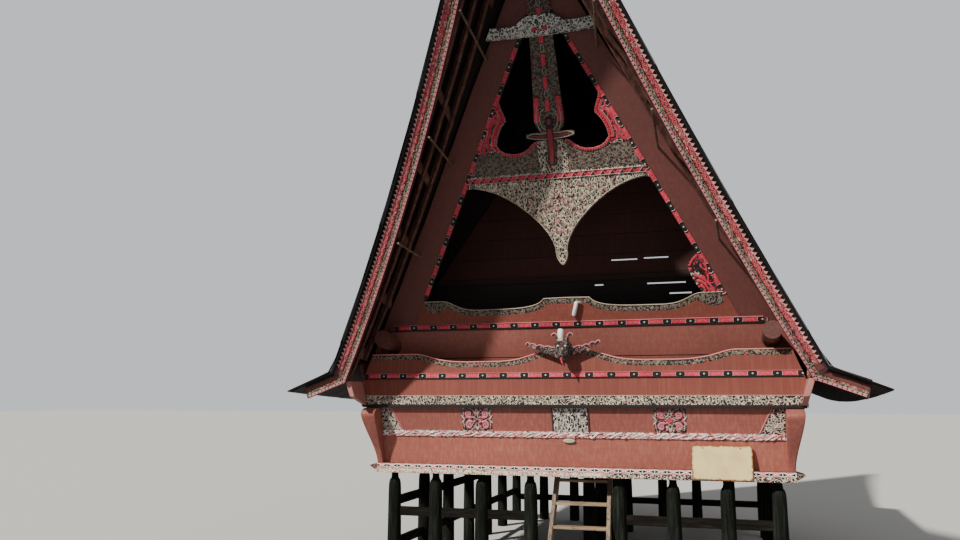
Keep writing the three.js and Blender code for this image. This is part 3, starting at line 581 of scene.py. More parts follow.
def carved_ground(
    name, tone, accent, accents, size, rings, paint, stretch=(1, 1, 1), ground="#110E0D",
):
    """Board closely cut with curling lines, the dull paint left on the ridges between the cuts. A
    cell is 1 / size m wide, 40 to 90 mm, and has a line every 1 / rings of it. The carver's lines
    are finer; these are as coarse as they need to be to show."""
    finish, tree = new_finish(name, 0.75)
    flat_place = add(tree, "ShaderNodeTexCoord").outputs["Object"]
    place = add(tree, "ShaderNodeMapping", {"Vector": flat_place, "Scale": stretch})
    bend = add(tree, "ShaderNodeTexNoise", (place, 0.8 * size, 1.0))
    off_middle = (bend.outputs["Color"], (0.5, 0.5, 0.5))
    push = add(tree, "ShaderNodeVectorMath", off_middle, operation="SUBTRACT")
    by_a_cell = (push, (1.1 / size,) * 3, place)
    bent = add(tree, "ShaderNodeVectorMath", by_a_cell, operation="MULTIPLY_ADD")
    cells = add(tree, "ShaderNodeTexVoronoi", (bent, size))
    counted = add(tree, "ShaderNodeMath", (cells, rings, bend), operation="MULTIPLY_ADD")
    far = off_half(tree, add(tree, "ShaderNodeMath", (counted,), operation="FRACT"))
    ridge = add(tree, "ShaderNodeMapRange", (far, paint / 2 - 0.05, paint / 2 + 0.03, 1.0, 0.0))
    pick = add(tree, "ShaderNodeSeparateColor", (cells.outputs["Color"],))
    chosen = add(tree, "ShaderNodeMath", (pick, accents), operation="LESS_THAN")
    fine = add(tree, "ShaderNodeTexNoise", (place, 40.0, 4.0, 0.7))
    worn = add(tree, "ShaderNodeMapRange", (fine, 0.5, 0.72, 1.0, 0.35))
    own = add(tree, "ShaderNodeMix", (chosen, tone, accent), data_type="RGBA")
    kept = add(tree, "ShaderNodeMath", (ridge, worn), operation="MULTIPLY")
    colour = add(tree, "ShaderNodeMix", (kept, ground, own), data_type="RGBA")
    return finished(finish, colour, ridge, 0.9, 0.004)


pale_carving = carved_ground("carving_pale_on_black", "#E4CFB6", "#B8606A", 0.06, 25.0, 1.8, 0.4)
red_carving = carved_ground("carving_red_on_black", "#D83E50", "#C9B9A8", 0.12, 11.0, 2.2, 0.5)
fine_carving = carved_ground(
    "carving_fine_grey_on_black", "#96836C", "#B8404A", 0.06, 26.0, 1.6, 0.38)
white_carving = carved_ground(
    "carving_white_on_black", "#F6EFE2", "#8FA08C", 0.1, 24.0, 1.7, 0.56, ground="#241D1A")
dim_carving = carved_ground(
    "carving_dim_brown_on_black", "#8B7A66", "#7A2E34", 0.14, 24.0, 1.7, 0.42, ground="#1A1311")
flame_carving = carved_ground(
    "carving_flames_cream_and_red", "#E6D3BA", "#A8605A", 0.06, 23.0, 1.8, 0.5, (1.25, 1.0, 0.7))
cream_carving = carved_ground(
    "carving_cream_washed", "#F8E4C0", "#F0B49C", 0.3, 17.0, 2.4, 0.74, ground="#7E6654")
RED, GREY = "carved_red", "carved_grey"
SIDES = ((-1, "left"), (1, "right"))


def shifted(line, by):
    """The line moved to the left of its direction in its plane, by one amount or one a point."""
    moved = []
    for i, (x, z) in enumerate(line):
        back, ahead = line[max(0, i - 1)], line[min(len(line) - 1, i + 1)]
        dx, dz = ahead[0] - back[0], ahead[1] - back[1]
        step = (by[i] if hasattr(by, "__len__") else by) / (math.hypot(dx, dz) or 1.0)
        moved.append((x - dz * step, z + dx * step))
    return moved


def stroke(line, halves, high, low=0.0):
    """A raised stroke, narrower on top. halves is one half width, two for a taper, or all."""
    if not hasattr(halves, "__len__"):
        halves = (halves, halves)
    if len(halves) == 2:
        wide, narrow = halves
        halves = [wide + (narrow - wide) * i / (len(line) - 1) for i in range(len(line))]
    edges = []
    for reach, level in ((-1.0, low), (-0.6, high), (0.6, high), (1.0, low)):
        edges.append([(x, y, level) for x, y in shifted(line, [reach * half for half in halves])])
    return list(zip(*edges))


def tile(outline, high, low=0.0):
    """A flat piece cut to an outline in the board's plane."""
    return [[(x, y, level) for x, y in outline] for level in (low, high)]


def ring(x, y, rx, ry, cuts):
    """The outline of an oval."""
    turns = [TURN * i / cuts for i in range(cuts)]
    return [(x + rx * math.cos(turn), y + ry * math.sin(turn)) for turn in turns]


def volute(x, y, radius, start, turns=1.35, hand=1, steps=13):
    """A spiral from its outer end inwards, as a line."""
    line = []
    for i in range(steps + 1):
        t = i / steps
        turn = start + hand * turns * TURN * t
        reach = radius * (1 - 0.88 * t ** 0.9)
        line.append((x + reach * math.cos(turn), y + reach * math.sin(turn)))
    return line


def leaf(x, y, dx, dy, half, high):
    """A short pointed leaf."""
    line = [(x + dx * t, y + dy * t) for t in (0.0, 0.35, 0.7, 1.0)]
    return stroke(line, [0.35 * half, half, 0.7 * half, 0.12 * half], high)


def trim(points, cut):
    """The line without its first and last stretch."""
    line = [Vector(p) for p in points]
    for _ in range(2):
        left = cut
        while (line[1] - line[0]).length <= left:
            left -= (line[1] - line[0]).length
            line.pop(0)
        line[0] = line[0] + (line[1] - line[0]).normalized() * left
        line.reverse()
    return line


def outward(face, x, z):
    """The way that a face of the house looks at a place."""
    return (Vector(face(x, z, 1.0)) - Vector(face(x, z))).normalized()


def repeat(name, line, face, proud, shape, pitch, finish, slot):
    """Copies of a shape along a line on a face; half a pitch is left free at each end."""
    known = [(Vector(face(x, z, proud)), outward(face, x, z)) for x, z in line]
    points = trim([place for place, _ in known], pitch / 2)
    ways = [min(known, key=lambda pair: (pair[0] - point).length)[1] for point in points]
    edges = [(i, i + 1) for i in range(len(points) - 1)]
    copies(name, on_line, points, edges, {"outward": ways}, shape, finish, slot, pitch=pitch)


def leaning(y, z, lean, lift=0.0):
    """A face of the front that leans. A drawing on it is x across and z up, and may be proud."""
    normal = Vector((0.0, -1.0, -lean)).normalized()

    def face(x, height, proud=0.0):
        return tuple(Vector((x, y - lean * (height - z), height)) + normal * (proud + lift))

    return face


GABLE, LOWER_WALL = (-4.08, 4.16, 0.43), (-3.8, 1.85, 0.28)
on_gable, on_lower = leaning(*GABLE), leaning(*LOWER_WALL)
on_tier, on_sill = leaning(-4.08, 0, 0), leaning(-3.9, 0, 0)


def drawn(start, *steps, cuts=8):
    """A line in a board's plane from straight steps (x, z) and curves (x1, z1, x2, z2, x, z)."""
    line = [start]
    for step in steps:
        if len(step) == 2:
            line.append(step)
            continue
        (x0, z0), (x1, z1, x2, z2, x3, z3) = line[-1], step
        for i in range(1, cuts + 1):
            t = i / cuts
            a, b, c, d = (1 - t) ** 3, 3 * t * (1 - t) ** 2, 3 * t * t * (1 - t), t ** 3
            line.append((a * x0 + b * x1 + c * x2 + d * x3, a * z0 + b * z1 + c * z2 + d * z3))
    return line


def both_halves(right):
    """A line from the right end to the middle with its mirror image, run left to right."""
    return [(-x, z) for x, z in right[:-1]] + right[::-1]


def on_side(line, side):
    """The line on the right half, or its mirror image on the left, still run left to right."""
    return flip(line[::side], side)


def flip(line, side):
    """The line as it is for side 1, or mirrored for side -1."""
    return [(side * x, z) for x, z in line]


def level(reach, z, start=None):
    """A level line out to a reach on both sides, or from a start."""
    return [(-reach if start is None else start, z), (reach, z)]


def oblong(low_x, low_z, high_x, high_z):
    """The outline between two corners."""
    return [(low_x, low_z), (high_x, low_z), (high_x, high_z), (low_x, high_z)]


def strip(name, line, half, face, finish, slot, proud=0.006, low=0.0):
    """A flat band of one paint along a line."""
    build(name, [stroke(line, half, proud, low)], finish, slot, face=face)


# Carved fields: panels closely filled with volutes of several sizes, laid out with compasses so
# that each curl just clears the next.
def inside(x, y, outline):
    """Whether a place lies within an outline."""
    hit = False
    for (ax, ay), (bx, by) in zip(outline[-1:] + outline, outline):
        if (ay > y) != (by > y) and x < (bx - ax) * (y - ay) / (by - ay) + ax:
            hit = not hit
    return hit


def edge_distance(x, y, outline):
    """How far a place is from the nearest edge of an outline."""
    best = 1e9
    for (ax, ay), (bx, by) in zip(outline[-1:] + outline, outline):
        dx, dy = bx - ax, by - ay
        t = max(0.0, min(1.0, ((x - ax) * dx + (y - ay) * dy) / (dx * dx + dy * dy or 1.0)))
        best = min(best, math.hypot(ax + t * dx - x, ay + t * dy - y))
    return best


CURL_MARGIN, CURL_GAP = 0.006, 0.002


def packed_rounds(outline, radii, tries, seed):
    """Circles of falling size thrown into an outline so that none meets another."""
    rng = random.Random(seed)
    (low_x, high_x), (low_y, high_y) = [(min(values), max(values)) for values in zip(*outline)]
    kept = []
    for radius in radii:
        for _ in range(tries):
            x, y = rng.uniform(low_x, high_x), rng.uniform(low_y, high_y)
            r = radius * rng.uniform(0.85, 1.15)
            if not inside(x, y, outline) or edge_distance(x, y, outline) < r + CURL_MARGIN:
                continue
            if all((x - a) ** 2 + (y - b) ** 2 > (r + c + CURL_GAP) ** 2 for a, b, c, _ in kept):
                kept.append((x, y, r, rng.uniform(0, TURN)))
    return kept


def carved_field(name, outline, radii, tries, seed, face, finish, slot, lift=0.001, mirror=None):
    """A field of curls on a face of the house. mirror is the x of a line of symmetry."""
    rounds = [(*spot, i % 2) for i, spot in enumerate(packed_rounds(outline, radii, tries, seed))]
    if mirror is not None:
        rounds += [(2 * mirror - x, y, r, math.pi - turn, 1 - odd) for x, y, r, turn, odd in rounds]
    proud = outward(face, *outline[0])
    up = (Vector((0, 0, 1)) - proud * proud.z).normalized()
    right = up.cross(proud)
    for hand, word in ((1, "_a"), (-1, "_b")):
        curl = [
            stroke(volute(0, 0, 0.86, 0.0, 1.45, hand, 14), (0.15, 0.1), 0.14),
            leaf(0.9, -0.1 * hand, -0.15, -0.75 * hand, 0.13, 0.12),
        ]
        places = [
            (face(x, y, lift), right * math.cos(turn) + up * math.sin(turn), proud, r)
            for x, y, r, turn, odd in rounds if odd == (hand == -1)
        ]
        stand(name + word, places, curl, finish, slot)


# Sill beam: a wide plank on edge with upturned points. Its face has a row of pink squares crossed
# in white with small black wedges, over a strip of carving washed to cream.
dress(dim_carving, "sill_beam_front")
dress(brown_ground, "sill_beam_rear")
SILL_ROW, CROSS_PITCH, SILL_PROUD = level(2.93, 1.756), 0.162, 0.002
sill_pink = carved_paint("sun_faded_pink_on_sill", "#F48C86", "#FFBCB0", "#CC7A70", 0.35)
bright_white = carved_paint("fresh_lime_white", "#FFF8F0", "#EAD8CE", "#C4A098", 0.3)
strip("sill_row_ground", SILL_ROW, 0.031, on_sill, sill_pink, RED, SILL_PROUD)
crosses = [
    stroke([(-0.076, 0.026 * s), (0, 0), (0.076, -0.026 * s)], 0.006, 0.005) for s in (-1, 1)
]
crosses.append(stroke([(0.081, -0.027), (0.081, 0.027)], 0.007, 0.004))
wedges = [tile([(0.074 * s, 0.019), (0.02 * s, 0.0), (0.074 * s, -0.019)], 0.003) for s in (-1, 1)]
repeat("sill_crosses_white", SILL_ROW, on_sill, SILL_PROUD, crosses, CROSS_PITCH, bright_white, RED)
repeat("sill_wedges_black", SILL_ROW, on_sill, SILL_PROUD, wedges, CROSS_PITCH, black_paint, RED)
for word, line, finish in (
    ("left", level(0.5, 1.69, -2.95), cream_carving),
    ("right", level(2.95, 1.69, 0.5), pale_carving),
):
    strip("sill_beam_wash_" + word, line, 0.032, on_sill, finish, GREY, SILL_PROUD)
carved_field(
    "sill_beam_curls", oblong(-2.9, 1.66, 0.4, 1.72), (0.024, 0.017), 1500, 12, on_sill,
    bright_white, GREY, SILL_PROUD)

# Moulding: a rounded strip carved as a rope of pink and white leaves. It is nailed between lower
# plank and panel band, proud of both.
rope_ground = carved_ground(
    "carving_pink_and_white_rope", "#FBF0E6", "#E79A98", 0.4, 14.0, 2.4, 0.74, (0.6, 1.0, 1.3),
    "#6A3432")
dress(rope_ground, "moulding_front")
ROPE_MIDDLE, ROPE_END = 2.2325, 2.74
on_rope = leaning(*LOWER_WALL, 0.0145)
rope_swing = drawn((-0.07, -0.022), (-0.02, -0.034, 0.02, 0.034, 0.07, 0.022))
rope_leaf = [
    stroke(rope_swing, (0.003, 0.006, 0.009, 0.01, 0.011, 0.01, 0.009, 0.006, 0.003), 0.01),
    leaf(-0.01, 0.024, -0.04, 0.006, 0.006, 0.008),
    leaf(0.01, -0.024, 0.04, -0.006, 0.006, 0.008),
]
rope_chance = random.Random(29)
for name, finish, x in (
    ("rope_leaves_white", bright_white, -2.78), ("rope_leaves_pink", sill_pink, -2.7),
):
    places = []
    while x < ROPE_END:
        tilt = rope_chance.uniform(-0.25, 0.25)
        way, size = (math.cos(tilt), 0.0, math.sin(tilt)), rope_chance.uniform(0.75, 1.05)
        places.append((on_rope(x, ROPE_MIDDLE), way, outward(on_rope, x, ROPE_MIDDLE), size))
        x += rope_chance.uniform(0.11, 0.17)
    stand(name, places, rope_leaf, finish, RED)


# Panel band: three square inserts and a slanted panel at each end, carved on thin black plates let
# into the boards between moulding and ledge.
BAND_FOOT, BAND_HEAD, BAND_MIDDLE = 2.281, 2.601, 2.441
PLATE_THICK, ROSE_LOW = 0.004, 0.003


def let_in(name, outline, finish, slot=RED):
    """A thin carved plate on the lower wall."""
    build(name + "_ground", [tile(outline, PLATE_THICK)], finish, slot, face=on_lower)


insert_ground = carved_ground(
    "carving_between_rosettes", "#C24F5C", "#D8CCBE", 0.3, 19.0, 2.0, 0.34)
for name, middle, half, rose in (
    ("insert_left", -1.35, 0.22, 0.06), ("insert_right", 1.37, 0.21, 0.054),
):
    # Four scrolls turned to the corners, with leaves between them, in pink edged with white. A
    # leaf is given by its foot, its reach and its half width.
    let_in(name, oblong(middle - half, BAND_FOOT, middle + half, BAND_HEAD), insert_ground)
    pink_leaves = (
        (0.1 * half, 0.02, 0.2 * half, 0.02, 0.0125),
        (0.06 * half, 0.08, 0.22 * half, 0.04, 0.0125),
        (0.8 * half, 0.012, 0.03, -0.02, 0.012), (0.3 * half, 0.138, -0.045, -0.05, 0.011),
    )
    white_leaves = (
        (0.02 * half, 0.15, 0.1 * half, -0.08, 0.0125),
        (0.86 * half, 0.006, 0.2 * half, 0.05, 0.0125),
        (0.012, 0.05, 0.03, 0.09, 0.006), (0.93 * half, 0.03, -0.01, 0.1, 0.007),
    )
    pink, white = [], []
    for sx, sz in ((-1, -1), (-1, 1), (1, -1), (1, 1)):
        x, z = middle + sx * 0.54 * half, BAND_MIDDLE + sz * 0.083
        start, hand = math.atan2(-sz, -sx), sx * sz
        scroll = volute(x, z, rose, start, 1.5, hand, 16)
        rim = volute(x, z, rose + 0.019, start - hand * 0.2, 0.72, hand, 10)
        pink.append(stroke(scroll, (0.019, 0.01), 0.014, ROSE_LOW))
        white.append(stroke(rim, 0.0035, 0.011, ROSE_LOW))
        for shape, leaves in ((pink, pink_leaves), (white, white_leaves)):
            for x, z, dx, dz, wide in leaves:
                x, z = middle + sx * x, BAND_MIDDLE + sz * z
                shape.append(leaf(x, z, sx * dx, sz * dz, wide, 0.012))
    build(name + "_roses", pink, pink_paint, RED, face=on_lower)
    build(name + "_outlines", white, white_paint, GREY, face=on_lower)
flame_insert = carved_ground(
    "carving_white_flames_on_black", "#E6DCCC", "#B9787A", 0.06, 21.0, 1.7, 0.46, (1.35, 1.0, 0.7))
let_in("insert_middle", oblong(-0.23, BAND_FOOT, 0.25, BAND_HEAD), flame_insert)
carved_field(
    "insert_middle_curls", oblong(0.01, BAND_FOOT, 0.25, BAND_HEAD), (0.03, 0.022), 120, 22,
    on_lower, white_paint, GREY, PLATE_THICK, 0.01)
diamond = tile(ring(1.37, BAND_MIDDLE, 0.04, 0.038, 4), 0.022, ROSE_LOW)
build("insert_right_diamond", [diamond], red_paint, RED, face=on_lower)
rim = ring(1.37, BAND_MIDDLE, 0.06, 0.056, 4)
strip(
    "insert_right_diamond_rim", rim[3:] + rim, 0.004, on_lower, white_paint, GREY, 0.014, ROSE_LOW)
for x, word in ((-0.245, "left"), (0.265, "right")):
    jamb = [(x, BAND_FOOT), (x, BAND_HEAD)]
    strip("insert_jamb_" + word, jamb, 0.011, on_lower, brown_ground, "dark_board", 0.016)
for side, word in SIDES:
    name = "end_panel_" + word
    outline = [(2.53, BAND_FOOT), (2.83, BAND_FOOT), (2.83, BAND_HEAD), (2.69, BAND_HEAD)]
    outline = on_side(outline, side)
    let_in(name, outline, pale_carving, GREY)
    carved_field(
        name + "_curls", outline, (0.045, 0.03, 0.02), 500, 31 + side, on_lower, white_paint, GREY,
        PLATE_THICK)
    rim = flip([(2.51, BAND_FOOT), (2.67, BAND_HEAD)], side)
    strip(name + "_rim", rim, 0.008, on_lower, pink_paint, RED, 0.01)

# Ledge: the carved beam under the tier board, black with washed-out white scrolls. A black strip
# along its foot is a painted shadow, the dark line that it throws on the wall below.
dress(pale_carving, "ledge_front")
carved_field(
    "ledge_curls", oblong(0.0, 2.656, 3.1, 2.776), (0.02, 0.015), 500, 41, on_tier, cream_paint,
    GREY, mirror=0.0)
# A painted shadow: the black strip under the ledge.
strip("ledge_undercut", level(3.1, 2.631), 0.022, on_tier, black_paint, GREY, 0.003)
strip("ledge_top_edge", level(3.1, 2.777), 0.003, on_tier, white_paint, GREY, 0.005)

# Stripes: raised red blocks by turns with black ovals that hold a white dot, between thin rims. One
# pattern serves for the tier board, the gable's foot and the edges of the opening.
NOTCH, STRIPE_PROUD = 0.018, 0.003


def block_stripe(name, line, face, pitch=0.306, tall=0.066, share=0.66, low=0.0):
    """A stripe of red blocks, which take a share of each pitch, and ovals, along a line."""
    strip(name + "_ground", line, tall / 2, face, black_paint, RED, STRIPE_PROUD, low)
    half, t = share * pitch / 2, 0.43 * tall
    notch_x = half - NOTCH
    outline = [(-half, -t), (half, -t), (notch_x, 0.0), (half, t), (-half, t), (-notch_x, 0.0)]
    strokes = [
        leaf(x * half, -y * t, half / 2, 2 * y * t, 0.008, 0.0105)
        for x, y in ((-0.6, 0.45), (0.1, -0.45))
    ]
    ovals = [tile(ring(pitch / 2, 0, 0.012, 0.012, 8), 0.009)]
    for x, bulge in ((half, -1), (pitch - half, 1)):
        end, middle = x + 0.004 * bulge, x + (NOTCH - 0.004) * bulge
        ovals.append(stroke([(end, -0.9 * t), (middle, 0.0), (end, 0.9 * t)], 0.0035, 0.009))
    for word, shape, finish in (
        ("_red", [tile(outline, 0.008)], red_paint), ("_pink", strokes, pink_paint),
        ("_white", ovals, white_paint),
    ):
        repeat(name + word, line, face, STRIPE_PROUD, shape, pitch, finish, RED)


block_stripe("tier_stripe", level(3.07, 3.062), on_tier)
strip("tier_stripe_rim", level(3.07, 3.099), 0.004, on_tier, pink_paint, RED, 0.012)
# The black strip under the stripe is a painted shadow.
strip("tier_stripe_foot", level(3.08, 3.021), 0.008, on_tier, black_paint, RED, 0.012)

# Tier board's crest: the shaped top edge is rounded over and left pale, with a band of scrolls that
# follows it below.
CREST_LIFT, CREST_DEEP = 0.0025, 0.086


def crest(name, right, face, rim, ground, top, tries, seed):
    """The finish of a shaped top edge. rim and ground start with how far below it and how wide."""
    line = both_halves(drawn(*right))
    below, half, *look = rim
    strip(name + "_rim", shifted(line, -below), half, face, *look)
    below, half = ground
    strip(name + "_ground", shifted(line, -below), half, face, fine_carving, GREY, CREST_LIFT)
    band = shifted(line, -top) + shifted(line, -CREST_DEEP)[::-1]
    carved_field(
        name + "_curls", band, (0.021, 0.016), tries, seed, face, dim_paint, GREY, CREST_LIFT)


tier_top = (
    (2.95, 3.39), (2.26, 3.39), (2.06, 3.385, 1.98, 3.272, 1.5, 3.268), (0.98, 3.27),
    (0.52, 3.28, 0.43, 3.452, 0.0, 3.46))
crest(
    "tier_crest", tier_top, on_tier, (0.009, 0.008, sill_pink, RED, 0.01), (0.052, 0.036), 0.02,
    2400, 71)

# Gable foot: the upper stripe crosses the wall where gable boards and recessed wall meet, and
# covers the joint between them.
block_stripe("upper_stripe", level(2.62, 3.787, -2.66), on_gable)
strip("upper_stripe_rim", level(2.63, 3.823, -2.67), 0.0035, on_gable, pink_paint, RED, 0.012)
# The black strip under the stripe is a painted shadow.
strip("upper_stripe_foot", level(2.66, 3.75, -2.68), 0.005, on_gable, black_paint, RED, 0.014)

# Sill board: its crest is cut in the same wave as the tier's and carved along the edge, with a curl
# at each end.
sill_top = (
    (2.13, 4.16), (1.85, 4.158), (1.68, 4.15, 1.66, 4.03, 1.35, 4.022), (0.9, 4.024),
    (0.56, 4.03, 0.4, 4.06, 0.33, 4.15), (0.0, 4.156))
crest(
    "sill_crest", sill_top, on_gable, (0.006, 0.0045, cream_paint, GREY, 0.009), (0.05, 0.038),
    0.016, 2200, 72)
sill_end = [(2.12, 4.1), (2.135, 4.02), (2.06, 3.985), (1.93, 3.99), (1.8, 4.05), (1.8, 4.1)]
for side, word in SIDES:
    ground = [tile(flip(sill_end, side), CREST_LIFT)]
    build("sill_end_ground_" + word, ground, fine_carving, GREY, face=on_gable)
    curls = [
        stroke(volute(side * x, z, radius, 1.2, 1.5, -side, 16), (0.007, 0.004), 0.009)
        for x, z, radius in ((1.98, 4.065, 0.055), (1.86, 4.075, 0.036), (2.08, 4.05, 0.04))
    ]
    build("sill_end_curls_" + word, curls, dim_paint, GREY, face=on_gable)


# Opening's border: the same blocks and ovals climb both edges of the triangular opening, on a strip
# nailed over the ends of the gable boards.
OPENING_HALF, OPENING_SLOPE = 2.14, 0.5575


def opening_edge(z, off=0.0):
    """The point at a height on the right edge of the opening, or off it."""
    return OPENING_HALF - OPENING_SLOPE * (z - GABLE[1]) + off, z


border = [opening_edge(z, -0.006) for z in (7.93, 7.0, 6.0, 5.0, 4.19)]
for side, word in SIDES:
    block_stripe("border_" + word, on_side(border, side), on_gable, 0.305, 0.07, 0.6, -0.022)

# Carved panel: a board across the opening. A pointed skirt hangs below a red and black stripe, and
# above it two round bites are rimmed in red, with horned curls at their outer ends.
dress(flame_carving, "carved_panel_front")
skirt_edge = drawn(
    (0.0, 4.585), (0.07, 4.64, 0.09, 4.7, 0.085, 4.79), (0.09, 4.88, 0.16, 5.02, 0.29, 5.16),
    (0.52, 5.4, 0.83, 5.61, 1.18, 5.66), (1.3, 5.655))
skirt_half = skirt_edge + [opening_edge(5.69, -0.01), (0.0, 5.69)]
carved_field(
    "skirt_curls", skirt_half, (0.024, 0.017), 1500, 51, on_gable, cream_paint, GREY, mirror=0.0)
carved_field(
    "skirt_curls_pink", skirt_half, (0.022, 0.017), 110, 52, on_gable, pink_paint, RED, 0.0005, 0.0)
rosettes = [tile(ring(0, z, 0.019, 0.028, 8), 0.014, 0.002) for z in (5.02, 5.17, 5.33, 5.5)]
build("skirt_rosettes", rosettes, pink_paint, RED, face=on_gable)
panel_line = level(*opening_edge(5.745, -0.02))
PANEL_STRIPE_HALF, PANEL_PITCH = 0.036, 0.125
strip("panel_stripe_ground", panel_line, PANEL_STRIPE_HALF, on_gable, red_paint, RED)
wedges = [
    tile(outline, 0.008)
    for outline in (
        [(-0.03, -0.03), (0.0, 0.008), (0.03, -0.03)],
        [(0.056, 0.03), (0.036, 0.004), (0.018, 0.03)],
    )
]
wedge_lines = [
    stroke(line, 0.0035, 0.01)
    for line in (
        [(-0.034, -0.03), (0.0, 0.016), (0.014, 0.03)],
        *(level(PANEL_PITCH / 2, y) for y in (-PANEL_STRIPE_HALF, PANEL_STRIPE_HALF)),
    )
]
for word, shape, finish in (("wedges", wedges, black_paint), ("lines", wedge_lines, white_paint)):
    repeat("panel_stripe_" + word, panel_line, on_gable, 0.004, shape, PANEL_PITCH, finish, RED)
bite = drawn(
    (0.68, 6.77), (0.69, 6.64, 0.6, 6.56, 0.61, 6.48), (0.7, 6.4, 0.76, 6.3, 0.77, 6.18),
    (0.7, 6.02, 0.42, 6.03, 0.33, 6.11), (0.28, 6.15, 0.25, 6.19, 0.19, 6.19))
outer_bite = bite[:min(range(len(bite)), key=lambda i: bite[i][1])]
BAND_TOP = 6.1
band_outline = [(0.2, 6.18), (0.2, 5.8), opening_edge(5.8, -0.012), opening_edge(BAND_TOP, -0.012)]
band_outline += [p for p in bite if p[1] < BAND_TOP]
horn_outline = [opening_edge(6.08, -0.006), opening_edge(6.74, -0.006)]
horn_outline += [p for p in outer_bite if BAND_TOP < p[1] < 6.74]
wave_lines = [
    [
        (x, z) for x, z in shifted(outer_bite, off)
        if 6.12 < z < 6.66 and x < opening_edge(z, -0.03)[0]
    ]
    for off in (0.055, 0.125, 0.195)
]
wave_lines = [line for line in wave_lines if len(line) > 2]
bead = [stroke(level(0.012, 0.0), 0.017, 0.016)]
for side, word in SIDES:
    skirt_rim = flip(shifted(skirt_edge[:-1], 0.008), side)
    strip("skirt_rim_" + word, skirt_rim, 0.0045, on_gable, cream_paint, GREY, 0.01)
    outline = flip(band_outline, side)
    build("panel_band_ground_" + word, [tile(outline, 0.002)], dim_carving, GREY, face=on_gable)
    carved_field(
        "panel_band_" + word, outline, (0.026, 0.02, 0.015), 500, 61, on_gable, dim_paint, GREY,
        0.002)
    horn = [tile(flip(horn_outline, side), 0.003)]
    waves = [stroke(flip(line, side), 0.016, 0.015) for line in wave_lines]
    edges = [stroke(flip(shifted(line, 0.019), side), 0.003, 0.01) for line in wave_lines]
    build("panel_horn_ground_" + word, horn, red_carving, RED, face=on_gable)
    build("panel_horn_waves_" + word, waves, red_paint, RED, face=on_gable)
    build("panel_horn_lines_" + word, edges, white_paint, GREY, face=on_gable)
    bead_line, rim = [flip(shifted(bite, off), side) for off in (0.022, 0.004)]
    repeat("bite_beads_" + word, bead_line, on_gable, 0.001, bead, 0.034, red_paint, RED)
    strip("bite_rim_" + word, rim, 0.004, on_gable, pink_paint, RED, 0.012)

# Corner carving: red and black fronds that fill the right foot of the opening, sawn from one board
# and cut in relief. Its twin on the left is lost.
dress(red_carving, "corner_carving_front")
fronds = [
    stroke(drawn(*steps), (0.019, 0.013), 0.012)
    for steps in (
        ((1.82, 4.63), (1.76, 4.58), (1.715, 4.5)),
        ((1.84, 4.6), (1.9, 4.5, 1.95, 4.5, 1.93, 4.42)),
        ((1.76, 4.38), (1.84, 4.36, 1.92, 4.33, 2.03, 4.17)),
        ((1.8, 4.3), (1.86, 4.32, 1.92, 4.26, 1.96, 4.17)),
        ((1.84, 4.24), (1.87, 4.24, 1.9, 4.21, 1.91, 4.17)))
]
curls = [
    stroke(volute(x, z, radius, 2.4, 1.5, 1, 14), (0.009, 0.006), 0.013)
    for x, z, radius in (
        (1.79, 4.49, 0.05), (1.87, 4.43, 0.04), (1.88, 4.56, 0.035), (2.0, 4.34, 0.035),
    )
]
build("corner_fronds", fronds, red_paint, RED, face=on_gable)
build("corner_curls", curls, black_paint, GREY, face=on_gable)

# Upright: a tall board on the panel's middle, closely carved, with a row of red blocks down its
# middle. It ends in a carved lizard whose head points down.
dress(dim_carving, "finial_board_front")
on_upright = leaning(*GABLE, 0.05)
upright_half = [(0.04, 6.62), (0.178, 6.62), (0.15, 7.4), (0.138, 7.84), (0.04, 7.84)]
carved_field(
    "upright_curls", upright_half, (0.024, 0.018), 500, 81, on_upright, dim_paint, GREY, mirror=0.0)
shoulder = [(0.13, 6.42), (0.2, 6.42), (0.176, 6.72), (0.12, 6.72)]
red_blocks, white_rims = [tile(flip(shoulder, side), 0.01) for side in (-1, 1)], []
for z in [6.62 + 0.27 * i for i in range(5)]:
    red_blocks.append(tile(oblong(-0.027, z - 0.07, 0.027, z + 0.07), 0.012))
    rim = ring(0, z + 0.135, 0.024, 0.05, 12)
    white_rims.append(stroke(rim + rim[:1], 0.004, 0.01))
spine = [(0, z) for z in (6.33, 6.26, 6.14, 6.02, 5.9)]
lizard, lizard_rims = [
    stroke(spine, (0.03, 0.055, 0.04, 0.045, 0.018), 0.03),
    tile(ring(0, 6.42, 0.03, 0.036, 12), 0.024, 0.012),
], []
for side in (-1, 1):
    arm = flip([(0.05, 6.25), (0.14, 6.245), (0.22, 6.26), (0.29, 6.25)], side)
    lizard.append(stroke(arm, (0.012, 0.017, 0.014, 0.006), 0.02))
    for rim in (
        [(0.05, 6.285), (0.14, 6.278), (0.23, 6.29), (0.325, 6.262)],
        [(0.05, 6.215), (0.14, 6.215), (0.23, 6.225), (0.325, 6.252)],
        [(0.05, 6.58), (0.1, 6.55), (0.125, 6.45), (0.1, 6.36), (0.05, 6.32)],
        [(0.15, 6.6), (0.17, 6.5), (0.165, 6.4), (0.12, 6.31)],
    ):
        lizard_rims.append(stroke(flip(rim, side), 0.007, 0.016))
for name, shape, finish, slot in (
    ("upright_red_blocks", red_blocks, red_paint, RED),
    ("upright_white_rims", white_rims, white_paint, GREY),
    ("lizard_body", lizard, red_paint_darkened_as_shade, RED), ("lizard_rims", lizard_rims, grey_paint, GREY),
    ("lizard_dark_disc", [tile(ring(0, 6.42, 0.062, 0.07, 16), 0.012)], black_paint, GREY),
):
    build(name, shape, finish, slot, face=on_upright)

